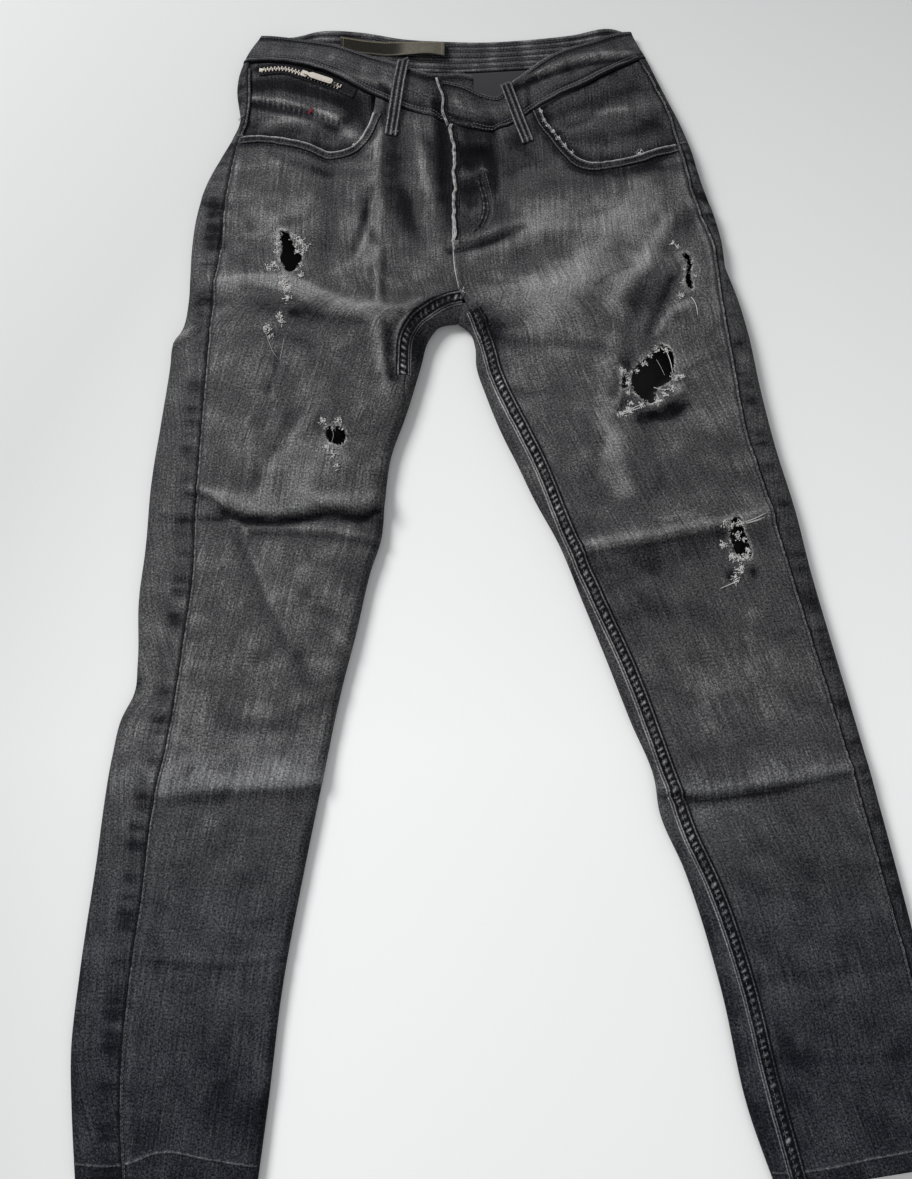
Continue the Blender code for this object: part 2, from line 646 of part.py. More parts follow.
def back_piece(half, name, first, last):
    """A stretch of the back between two rows, round the outer fold to the outseam."""
    rows = shrunk(ROWS, first, last)
    plan_rows = [back_columns(half, v) for v in rows]
    outer, normal = points_of(plan_rows)
    edge = 3
    cells = []
    for r in range(len(rows) - 1):
        for c in range(len(plan_rows[0]) - 1):
            if c < edge and rows[r + 1] <= 1.0:
                continue
            if c < edge and rows[r] <= 1.0:
                continue
            ring = [(r, c), (r + 1, c), (r + 1, c + 1), (r, c + 1)]
            if c >= edge:
                ring = [(k, m) if (m > edge or rows[k] >= 1 + GAP_SHARE - 1e-6) else (k, "under")
                        for k, m in ring]
            cells.append(tuple(ring))
    for r, v in enumerate(rows):
        if v < 1 + GAP_SHARE - 1e-6:
            points, normals = surface(half.under_row(v)[0], False)
            outer[r, "under"], normal[r, "under"] = points[0], normals[0]
    tip_row = next((r for r, v in enumerate(rows) if v > 1.0), None)
    if last > len(HIP_ROWS):
        tip = half.crotch + (half.gap_top - half.crotch) * 0.06
        points, normals = surface(tip, True)
        outer["tip", 0], normal["tip", 0] = points[0], normals[0]
        for c in range(edge):
            cells.append((("tip", 0), (tip_row, c), (tip_row, c + 1)))
    keys = {key for cell in cells for key in cell}
    number = {key: i for i, key in enumerate(sorted(keys, key=str))}
    cells = [tuple(number[key] for key in cell) for cell in cells]
    outer = {number[key]: outer[key] for key in keys}
    normal = {number[key]: normal[key] for key in keys}
    return wall(name, outer, normal, cells, WALL, COLOURS["denim"])


def pocket_facing(half, name, rows_used, columns_used):
    """The facing under a front pocket's mouth, parallel to the front panel."""
    rows = shrunk(ROWS, 0, len(ROWS) - 1)[:rows_used]
    plan_rows = [front_columns(half, v)[:columns_used] for v in rows]
    outer, normal = points_of(plan_rows)
    for key in outer:
        outer[key] = outer[key] - (WALL + UNDER_GAP) * normal[key]
    cells = grid_cells(len(rows), columns_used)
    return wall(name, outer, normal, cells, FACING_WALL, COLOURS["denim"])


def fly_shield():
    """The strip behind the fly, under both fronts' middle edges."""
    hip = len(HIP_ROWS)
    rows = shrunk(ROWS, 0, len(ROWS) - 1)[:hip - 1]
    plan_rows = []
    for v in rows:
        right = front_columns(RIGHT, v)[-6:-1]
        left = front_columns(LEFT, v)[::-1]
        middle = (right[-1][0] + left[1][0]) / 2
        plan_rows.append(right + [(middle, True)] + left[1:3])
    outer, normal = points_of(plan_rows)
    for key in outer:
        outer[key] = outer[key] - (WALL + SHIELD_GAP) * normal[key]
    cells = grid_cells(len(rows), len(plan_rows[0]))
    return wall("fly_shield", outer, normal, cells, FACING_WALL, COLOURS["denim"])


def band_front_row(half, seam_points, top_points, b):
    """Plan line of the front band at height b, from the side fold to its end."""
    seam = joined(np.vstack([half.outer_at(0), seam_points[0]]), smooth(seam_points))
    top = smooth(top_points)
    shares = np.linspace(0, 1, 60)
    low = np.array([at_share(seam, s) for s in shares])
    high = np.array([at_share(top, s) for s in shares])
    return low + (high - low) * b


def band_edges(side_band, b):
    """The side fold's plan point at height b of the band."""
    return at_share(smooth(side_band)[::-1], b)


def waistband():
    """The band: round the waist from the underlap to the overlap."""
    heights = [BAND_CLEAR / BAND_HIGH, 1 / 3, 2 / 3, 1.0]
    plan_rows, drops = [], []
    for b in heights:
        fold_right = band_edges(OUTER_RIGHT_BAND, b)
        fold_left = band_edges(OUTER_LEFT_BAND, b)
        right = band_front_row(RIGHT, WAIST_SEAM_RIGHT + UNDERLAP_SEAM, BAND_TOP_RIGHT, b)
        left = band_front_row(LEFT, WAIST_SEAM_LEFT, BAND_TOP_LEFT, b)
        right[0], left[0] = fold_right, fold_left
        low, high = np.array(BACK_SEAM, float), smooth(BACK_TOP)
        back = np.array([at_share(low, s) * (1 - b) + at_share(high, s) * b
                         for s in np.linspace(0, 1, 80)])
        back[0], back[-1] = fold_right, fold_left
        reach = EDGE_REACH * float(edge_rise(fold_right[None])[0])
        row = []
        long = lengths(right)[-1]
        for m in np.linspace(long, reach, BAND_COLUMNS):
            row.append((at_distance(right, m), True))
        row.append((at_distance(right, CORNER * reach), True))
        row.append((fold_right, True))
        row.append((at_distance(back, CORNER * reach), False))
        long = lengths(back)[-1]
        for m in np.linspace(reach, long - reach, BAND_BACK_COLUMNS):
            row.append((at_distance(back, m), False))
        row.append((at_distance(back, long - CORNER * reach), False))
        row.append((fold_left, True))
        row.append((at_distance(left, CORNER * reach), True))
        long = lengths(left)[-1]
        for m in np.linspace(reach, long, BAND_COLUMNS):
            row.append((at_distance(left, m), True))
        plan_rows.append(row)
    outer, normal = points_of(plan_rows)
    for (r, c), point in outer.items():
        drop = 0.0
        if c < BAND_COLUMNS:
            drop = UNDERLAP_DROP * float(soft_step((point[0] - UNDERLAP_FROM) / UNDERLAP_OVER))
        proud = BAND_PROUD if normal[r, c][2] > 0 else 0.0
        outer[r, c] = point + (proud - drop) * normal[r, c]
    cells = grid_cells(len(heights), len(plan_rows[0]))
    return wall("waistband", outer, normal, cells, BAND_WALL, COLOURS["denim"])


def front_loop(name, top, foot):
    """A belt loop over the front band, arched off it between its two ends."""
    top, foot = np.array(top, float), np.array(foot, float)
    along = (foot - top) / np.linalg.norm(foot - top)
    across = np.array([-along[1], along[0]]) * LOOP_WIDE / 2
    steps = 10
    outer, normal = {}, {}
    for r, share in enumerate(np.linspace(0, 1, steps)):
        lift = LOOP_CLEAR + LOOP_WALL + BAND_PROUD + LOOP_ARCH * math.sin(math.pi * share)
        for c, side in enumerate((-1.0, 0.0, 1.0)):
            points, normals = surface(top + (foot - top) * share + side * across, True)
            outer[r, c] = points[0] + lift * normals[0]
            normal[r, c] = normals[0]
    return wall(name, outer, normal, grid_cells(steps, 3), LOOP_WALL, COLOURS["denim"])


def flat_plate(name, outline, low, high, colour):
    """A flat piece between two heights over a plan outline."""
    count = len(outline)
    verts = [(x, y, low) for x, y in outline] + [(x, y, high) for x, y in outline]
    faces = [list(range(count))[::-1], list(range(count, 2 * count))]
    for i in range(count):
        j = (i + 1) % count
        faces.append([i, j, count + j, count + i])
    return new_object(name, verts, faces, colour)


def label():
    """The bare label that lies on the inside of the back band."""
    line = np.array(LABEL, float)
    outer, normal = {}, {}
    for r, (x, y) in enumerate(line):
        base = SEAT_RAISE + BAND_WALL + SEAM_GAP + LABEL_WALL + LABEL_ARCH[r]
        for c, up in enumerate((-0.5, 0.5)):
            tilt = 0.6 * LABEL_ARCH[r] * (0.5 - up)
            outer[r, c] = np.array([x, y + up * LABEL_HIGH, base + tilt])
            normal[r, c] = np.array([0.0, 0.0, 1.0])
    cells = grid_cells(len(line), 2)
    return wall("waist_label", outer, normal, cells, LABEL_WALL, COLOURS["label"])


def zip_tape():
    """The zip's tape on the right pocket facing."""
    line = smooth(ZIP_LINE, 3)
    outer, normal = {}, {}
    lift = ZIP_CLEAR + ZIP_TAPE_WALL - WALL - UNDER_GAP
    for r, point in enumerate(line):
        run = line[min(r + 1, len(line) - 1)] - line[max(r - 1, 0)]
        across = np.array([-run[1], run[0]]) / np.linalg.norm(run) * ZIP_WIDE / 2
        for c, side in enumerate((-1.0, 1.0)):
            points, normals = surface(point + side * across, True)
            outer[r, c] = points[0] + lift * normals[0]
            normal[r, c] = normals[0]
    return wall("zip_tape", outer, normal, grid_cells(len(line), 2), ZIP_TAPE_WALL,
                COLOURS["tape"])


def slider_frame():
    """(place, along, across, up) of the zip slider on its tape."""
    point, normal = surface(np.array(SLIDER_AT, float), True)
    up = normal[0]
    run = np.append(np.array(SLIDER_TOWARDS, float) - SLIDER_AT, 0.0)
    run = run - up * (run @ up)
    run = run / np.linalg.norm(run)
    lift = 2 * ZIP_CLEAR + ZIP_TAPE_WALL - WALL - UNDER_GAP
    return point[0] + lift * up, run, np.cross(up, run), up


def block(name, place, axes, outline, low, high, colour, origin=None):
    """A prism over an outline in its own axes, between two heights."""
    along, across, up = axes
    ring = [place + a * along + b * across for a, b in outline]
    count = len(ring)
    verts = [p + low * up for p in ring] + [p + high * up for p in ring]
    faces = [list(range(count)), list(range(count, 2 * count))]
    for i in range(count):
        j = (i + 1) % count
        faces.append([i, j, count + j, count + i])
    return new_object(name, verts, faces, colour, 0.35, 1.0, origin)


def zip_pull():
    """The slider, and the pull tab that swings about a bar over it."""
    place, along, across, up = slider_frame()
    long, wide, high = SLIDER_SIZE
    axes = (along, across, up)
    body = [(-long / 2, -wide / 2), (long / 4, -wide / 2), (long / 2, -wide / 4),
            (long / 2, wide / 4), (long / 4, wide / 2), (-long / 2, wide / 2)]
    block("zip_slider", place, axes, body, 0.0, high, COLOURS["metal"])
    low = high + PULL_CLEAR
    hinge = place + (low + PULL_THICK / 2) * up
    neck, half = PULL_NECK / 2, PULL_WIDE / 2
    tab = [(-PULL_THICK / 2, -neck), (5.0, -neck), (8.0, -half), (PULL_LONG - 2, -half),
           (PULL_LONG, -half + 2), (PULL_LONG, half - 2), (PULL_LONG - 2, half), (8.0, half),
           (5.0, neck), (-PULL_THICK / 2, neck)]
    block("zip_pull_tab", place, axes, tab, low, low + PULL_THICK, COLOURS["metal"], hinge)


def cut(panel, name, outline, low, high):
    """Cuts a plan outline right through a panel."""
    tool = flat_plate(name + "_cutter", outline, low, high, COLOURS["denim"])
    tool.hide_render = True
    tool.display_type = "WIRE"
    change = panel.modifiers.new(name, "BOOLEAN")
    change.operation = "DIFFERENCE"
    change.solver = "EXACT"
    change.object = tool


def main():
    for old in list(bpy.data.objects):
        bpy.data.objects.remove(old, do_unlink=True)

    front_right = front_panel(RIGHT, "front_right_panel")
    front_left = front_panel(LEFT, "front_left_panel")
    last = len(ROWS) - 1
    for half, side in ((RIGHT, "right"), (LEFT, "left")):
        back_piece(half, "back_yoke_" + side, 0, YOKE_ROW)
        back_piece(half, "back_" + side + "_panel", YOKE_ROW, last)
    pocket_facing(RIGHT, "pocket_facing_right", 6, 8)
    pocket_facing(LEFT, "pocket_facing_left", 6, 9)
    fly_shield()
    waistband()

    mouth = [tuple(p) for p in smooth(MOUTH_RIGHT, 4)]
    cut(front_right, "pocket_mouth_right", mouth + MOUTH_RIGHT_CORNER, 0.0, 80.0)
    mouth = [tuple(p) for p in smooth(MOUTH_LEFT, 4)]
    cut(front_left, "pocket_mouth_left", mouth + MOUTH_LEFT_CORNER, 0.0, 80.0)
    for panel, rips, side in ((front_right, RIPS_RIGHT, "_right"), (front_left, RIPS_LEFT, "_left")):
        for name, outline in rips.items():
            cut(panel, name + side, outline, RIP_CUT_LOW, RIP_CUT_HIGH)

    for name, (top, foot) in LOOPS_FRONT.items():
        front_loop(name, top, foot)
    low, high = LOOP_BACK_SPAN
    for name, x in LOOPS_BACK.items():
        half = LOOP_WIDE / 2
        outline = [(x - half, low), (x + half, low), (x + half, high), (x - half, high)]
        flat_plate(name, outline, 0.0, BACK_POCKET_WALL, COLOURS["denim"])
    for name, outline in BACK_POCKETS.items():
        flat_plate(name, outline, 0.0, BACK_POCKET_WALL, COLOURS["denim"])
    label()
    zip_tape()
    zip_pull()


main()
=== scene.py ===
"""Looks of a pair of ripped slim jeans that lies flat, front up.

The plan lists are sizes in millimetres. The lines of the panels, seams, band and
zip are those of the part's source, and the rips are drawn finer here. All the
cloth follows one surface over that plan: a flat underside, rounded folded edges,
and an upper side with its crown, folds and creases.
"""

import math

import bmesh
import bpy
import numpy as np
from bpy.props import FloatProperty, FloatVectorProperty, PointerProperty
from bpy.types import Operator, Panel, PropertyGroup
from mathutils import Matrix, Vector


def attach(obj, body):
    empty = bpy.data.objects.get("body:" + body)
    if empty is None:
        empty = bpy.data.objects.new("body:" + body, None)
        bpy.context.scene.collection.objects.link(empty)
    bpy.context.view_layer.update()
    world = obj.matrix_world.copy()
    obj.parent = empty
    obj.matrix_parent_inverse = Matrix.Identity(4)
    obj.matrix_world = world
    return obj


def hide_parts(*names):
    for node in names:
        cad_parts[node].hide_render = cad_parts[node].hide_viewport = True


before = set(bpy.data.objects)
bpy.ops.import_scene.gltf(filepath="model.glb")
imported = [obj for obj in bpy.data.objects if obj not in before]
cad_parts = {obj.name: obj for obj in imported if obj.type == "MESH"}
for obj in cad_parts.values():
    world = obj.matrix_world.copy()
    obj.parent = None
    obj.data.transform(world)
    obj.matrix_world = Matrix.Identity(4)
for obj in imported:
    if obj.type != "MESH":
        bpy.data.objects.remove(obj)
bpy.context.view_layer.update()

bl_info = {
    "name": "Ripped Jeans",
    "version": (1, 0, 0),
    "blender": (4, 5, 0),
    "location": "3D View > Sidebar > Jeans",
    "description": "Cloth, seams, rips and zip of a pair of jeans laid flat",
    "category": "Object",
}

MM = 0.001
MIDDLE = np.array([48.45, 237.75])
GARMENT = "garment"
PULL = "zip_pull"

# Sizes shared with the solids, apart from the rips
SEAM_GAP = 0.4
UNDER_GAP = 0.45
EDGE_RISE_HEM = 5.0
EDGE_RISE_HIP = 7.5
EDGE_REACH = 1.3
SEAT_RAISE = 1.9
SEAT_RAISE_FROM = 475.0
SEAT_RAISE_OVER = 30.0
HIP_LONG = 260.0
LEG_LONG = 815.0
GAP_SHARE = 0.025

OUTER_RIGHT_BAND = [(-208, 790), (-219, 772), (-226, 755)]
OUTER_RIGHT_HIP = [(-226, 755), (-230, 738), (-231, 720), (-228, 700), (-226, 688), (-233, 663),
                   (-243, 642), (-257, 610), (-265, 575), (-268, 540), (-268, 505)]
OUTER_RIGHT_LEG = [(-268, 505), (-268, 478), (-272, 448), (-281, 430), (-282, 410), (-287, 353),
                   (-293, 285), (-294, 225), (-297, 172), (-294, 115), (-295, 88), (-306, 62),
                   (-311, 32), (-319, -69), (-326, -160), (-328, -216), (-323, -268), (-316, -319)]
OUTER_LEFT_BAND = [(187, 795), (194, 778), (203, 760)]
OUTER_LEFT_HIP = [(203, 760), (212, 736), (222, 711), (232, 687), (244, 652), (253, 612),
                  (263, 578), (270, 546), (272, 516)]
OUTER_LEFT_LEG = [(272, 516), (282, 483), (290, 448), (299, 384), (310, 322), (324, 261),
                  (334, 203), (346, 145), (358, 90), (375, 9), (394, -94), (410, -192),
                  (420, -262), (425, -301)]
CROTCH = (8, 475)
GAP_TOP = (2, 455)
INNER_RIGHT = [GAP_TOP, (-17, 451), (-26, 439), (-35, 407), (-48, 360), (-63, 313), (-68, 270),
               (-71, 232), (-80, 203), (-92, 146), (-105, 90), (-120, 9), (-134, -69),
               (-150, -169), (-158, -256), (-165, -322)]
INNER_LEFT = [GAP_TOP, (14, 445), (19, 430), (20, 410), (30, 377), (48, 331), (58, 310),
              (75, 272), (98, 227), (118, 174), (139, 118), (159, 62), (179, 9), (182, -18),
              (202, -69), (229, -169), (246, -263), (266, -325)]
OUTSEAM_RIGHT_HIP = [(-219, 752), (-218, 725), (-217, 700), (-219, 680), (-225, 655), (-230, 620),
                     (-234, 577), (-235, 535), (-239, 500)]
OUTSEAM_RIGHT_LEG = [(-239, 500), (-240, 470), (-241, 438), (-242, 404), (-244, 328), (-245, 245),
                     (-244, 205), (-250, 130), (-260, 37), (-268, -10), (-274, -95), (-280, -165),
                     (-281, -256), (-275, -313)]
OUTSEAM_LEFT_HIP = [(194, 755), (204, 736), (213, 712), (223, 686), (230, 653), (237, 624),
                    (242, 595), (251, 563), (260, 535), (262, 510)]
OUTSEAM_LEFT_LEG = [(262, 510), (264, 473), (267, 442), (271, 405), (280, 331), (291, 289),
                    (312, 199), (329, 126), (346, 56), (366, -35), (380, -103), (390, -150),
                    (397, -207), (402, -260), (405, -304)]
FRONT_MIDDLE = [(-7, 667), (-3, 627), (-3, 580), (-3, 532), (-1, 504), (3, 486), CROTCH]
BACK_MIDDLE = [(0, 747), (4, 610), CROTCH]
INSEAM_LEFT = [CROTCH, (18, 455), (28, 426), (35, 398), (47, 368), (59, 343), (76, 306),
               (99, 245), (123, 185), (157, 103), (184, 23), (204, -40), (220, -77), (246, -162),
               (262, -241), (281, -322)]
INSEAM_RIGHT = [CROTCH, (-8, 471), (-24, 462), (-38, 449), (-46, 434), (-48, 412), (-48, 396)]
INSEAM_RIGHT_SHOWS = 0.12
INSEAM_RIGHT_INSET = -10.4
INSEAM_RIGHT_TUCK = 16.0
INSEAM_RIGHT_TUCK_OVER = 0.1
WAIST_SEAM_RIGHT = [(-219, 752), (-199, 750), (-163, 741), (-126, 725), (-97, 706), (-78, 695),
                    (-52, 682), (-27, 674), (-7, 667)]
WAIST_SEAM_LEFT = [(194, 755), (160, 732), (132, 713), (106, 698), (83, 683), (62, 668),
                   (41, 659), (15, 661), (-7, 667)]
UNDERLAP_SEAM = [(6, 664), (18, 662)]
BAND_TOP_RIGHT = [(-208, 790), (-190, 786), (-165, 779), (-128, 767), (-100, 753), (-79, 743),
                  (-58, 735), (-37, 725), (-21, 721), (-7, 721), (6, 721), (18, 718)]
BAND_TOP_LEFT = [(187, 795), (170, 790), (144, 776), (98, 748), (70, 723), (53, 706), (42, 694),
                 (28, 696), (7, 705), (-17, 711)]
BACK_SEAM = [(-226, 755), (0, 747), (203, 760)]
BACK_TOP = [(-208, 790), (-172, 792), (-146, 799), (-106, 798), (-56, 789), (-11, 786), (26, 785),
            (75, 788), (125, 794), (168, 802), (187, 795)]
MOUTH_RIGHT = [(-240, 661), (-222, 660), (-196, 658), (-172, 652), (-148, 644), (-124, 635),
               (-110, 638), (-99, 648), (-91, 663), (-85, 680), (-82, 700)]
MOUTH_RIGHT_CORNER = [(-82, 740), (-150, 790), (-260, 790)]
MOUTH_LEFT = [(84, 708), (86, 684), (92, 670), (102, 655), (112, 640), (124, 627), (138, 622),
              (156, 624), (181, 631), (204, 642), (226, 650), (250, 657)]
MOUTH_LEFT_CORNER = [(260, 790), (160, 790), (84, 740)]
RIPS_RIGHT = {
    "hip": [(-174, 545), (-166, 541), (-162, 532), (-155, 525), (-152, 514), (-156, 503),
            (-165, 498), (-171, 506), (-174, 514), (-172, 525), (-175, 534)],
    "thigh": [(-124, 337), (-120, 340), (-117, 336), (-113, 340), (-106, 336), (-105, 327),
              (-109, 321), (-116, 322), (-123, 326)],
}
RIPS_LEFT = {
    "hip": [(225, 521), (230, 523), (235, 512), (232, 500), (233, 483), (229, 484), (228, 503),
            (229, 512)],
    "thigh": [(200, 423), (207, 419), (210, 398), (206, 384), (194, 377), (189, 362),
              (179, 366), (169, 379), (173, 399), (185, 410)],
    "thigh_slit": [(160, 392), (164, 394), (165, 379), (161, 377)],
    "knee": [(255, 247), (265, 249), (269, 238), (274, 225), (275, 213), (267, 209), (259, 217),
             (256, 232)],
}
FOLDS = [
    ([(-216, 268), (-180, 262), (-154, 264), (-129, 268), (-88, 268), (-75, 274)], 9.0, 4.0),
    ([(-216, 256), (-203, 250), (-180, 249), (-154, 251), (-129, 256), (-88, 255)], 7.0, -3.5),
    ([(-202, 233), (-187, 192), (-169, 156), (-155, 133)], 9.0, -2.0),
    ([(-236, 488), (-202, 482), (-161, 473), (-136, 467), (-110, 456), (-73, 446)], 12.0, 3.0),
    ([(-230, 470), (-190, 462), (-140, 448), (-90, 428)], 12.0, -2.0),
    ([(-90, 459), (-53, 462), (-30, 472)], 9.0, 2.5),
    ([(-76, 440), (-72, 412), (-66, 379)], 8.0, 3.0),
    ([(-60, 440), (-60, 412), (-58, 392)], 6.0, -2.0),
    ([(-134, 650), (-129, 592), (-130, 514)], 10.0, -2.5),
    ([(-79, 640), (-84, 560), (-76, 470)], 11.0, 3.0),
    ([(190, 590), (133, 509), (82, 439)], 22.0, 3.0),
    ([(230, 471), (194, 425), (158, 370)], 12.0, -2.5),
    ([(44, 525), (74, 538), (104, 547)], 10.0, 2.5),
    ([(30, 500), (70, 512), (110, 520)], 10.0, -2.0),
    ([(152, 387), (137, 336), (131, 296)], 12.0, 2.5),
    ([(100, 214), (181, 224), (257, 243), (300, 256)], 11.0, 3.5),
    ([(110, 202), (181, 211), (257, 229), (300, 240)], 10.0, -2.5),
    ([(180, 2), (252, 6), (368, 18)], 12.0, 2.0),
    ([(-300, 14), (-201, 12), (-112, 16)], 12.0, 2.0),
    ([(-278, 431), (-237, 442)], 9.0, 3.0),
    ([(-141, 80), (-105, 98)], 10.0, 2.0),
]
CROWN_AT = [-330, -200, 0, 200, 330, 450, 560, 700, 800]
CROWN_HIGH = [3.0, 5.0, 7.0, 8.5, 11.0, 14.0, 15.0, 12.0, 9.0]
CROWN_REACH = [60, 70, 75, 80, 90, 105, 120, 120, 110]
WAIST_LIFT = 11.0
WAIST_LIFT_FROM = 655.0
WAIST_LIFT_OVER = 62.0
WAIST_LIFT_WIDTH = 85.0
WAIST_DROOP = 7.0
WAIST_DROOP_FROM = 735.0
WAIST_DROOP_OVER = 50.0
BAND_HIGH = 43.0
BAND_CLEAR = 1.0
BAND_PROUD = 0.6
BAND_WALL = 2.6
UNDERLAP_DROP = 3.7
UNDERLAP_FROM = -62.0
UNDERLAP_OVER = 36.0
FLY_LIFT = 1.5
FLY_WIDE = 36.0
FLY_SOFT = 10.0
FLY_END = 0.86
FLY_FADE = 0.12
WALL = 1.5
SHIELD_GAP = 0.95
LOOP_WALL = 1.3
LOOP_WIDE = 12.5
LOOP_ARCH = 1.6
LOOP_CLEAR = 0.3
LOOPS_FRONT = {"belt_loop_front_right": ((-54, 738), (-67, 653)),
               "belt_loop_front_left": ((50, 708), (73, 645))}
LOOPS_BACK = {"belt_loop_back_right": -122.0, "belt_loop_back_middle": 2.0,
              "belt_loop_back_left": 118.0}
LOOP_BACK_SPAN = (738.0, 784.0)
BACK_POCKETS = {
    "back_pocket_right": [(-180, 700), (-46, 698), (-49, 582), (-113, 546), (-177, 584)],
    "back_pocket_left": [(56, 698), (190, 700), (187, 584), (123, 546), (59, 582)],
}
BACK_POCKET_WALL = 1.4
LABEL = [(-124, 783), (-100, 779), (-76, 776), (-60, 775), (-44, 773), (-28, 773), (-12, 773)]
LABEL_HIGH = 17.0
LABEL_ARCH = [0.0, 0.0, 0.3, 1.5, 4.0, 5.0, 2.5]
ZIP_LINE = [(-206, 738), (-180, 737), (-160, 729), (-140, 720), (-121, 711), (-104, 703)]
ZIP_WIDE = 11.0
ZIP_TAPE_WALL = 0.8
ZIP_CLEAR = 0.5
SLIDER_AT = (-157, 727.5)
SLIDER_TOWARDS = (-121, 711)
SLIDER_SIZE = (8.0, 7.0, 2.4)
PULL_LONG = 33.0
PULL_WIDE = 6.5
PULL_THICK = 1.2
PULL_NECK = 3.2
PULL_CLEAR = 0.35

# Walls of the thin pieces
BACK_LOOP_WALL = 1.4
FACING_WALL = 1.3
LABEL_WALL = 1.0
STRIP_WALL = 0.5

# A panel's length and width, which set its number of rows and columns
PANEL_LONG, PANEL_WIDE = 1230, 240

# Row parameters: 0 at the waist, 1 at the crotch, 2 at the hem
FIRST_ROW, LAST_ROW = 0.0008, 1.9998
YOKE_END = 0.2
FACING_END = 0.56
SHIELD_END = 0.898

# The share of the front's width that a facing reaches across
FACING_ACROSS = 0.62

# Rows of points down the backs and yokes, and columns across them
BACK_ROWS, YOKE_ROWS = 330, 26
BACK_COLUMNS, STRIP_COLUMNS = 66, 12

# Thread, yarn and teeth
STITCH_SHARE = 0.76
FINE_YARN, TUFT_YARN = 0.14, 0.38
TOOTH_PITCH = 1.9
TOOTH_SHUT, TOOTH_OPEN = 0.9, 1.2
SMALL_CREASES = 260

# The photograph's camera and the floor, in metres and degrees
CAMERA_PLACE = (-0.04845, -0.23775, 0.873)
CAMERA_TILT = 12
CAMERA_LENS = 28.79
FLOOR_HALF, FLOOR_Z = 6.0, -0.0003

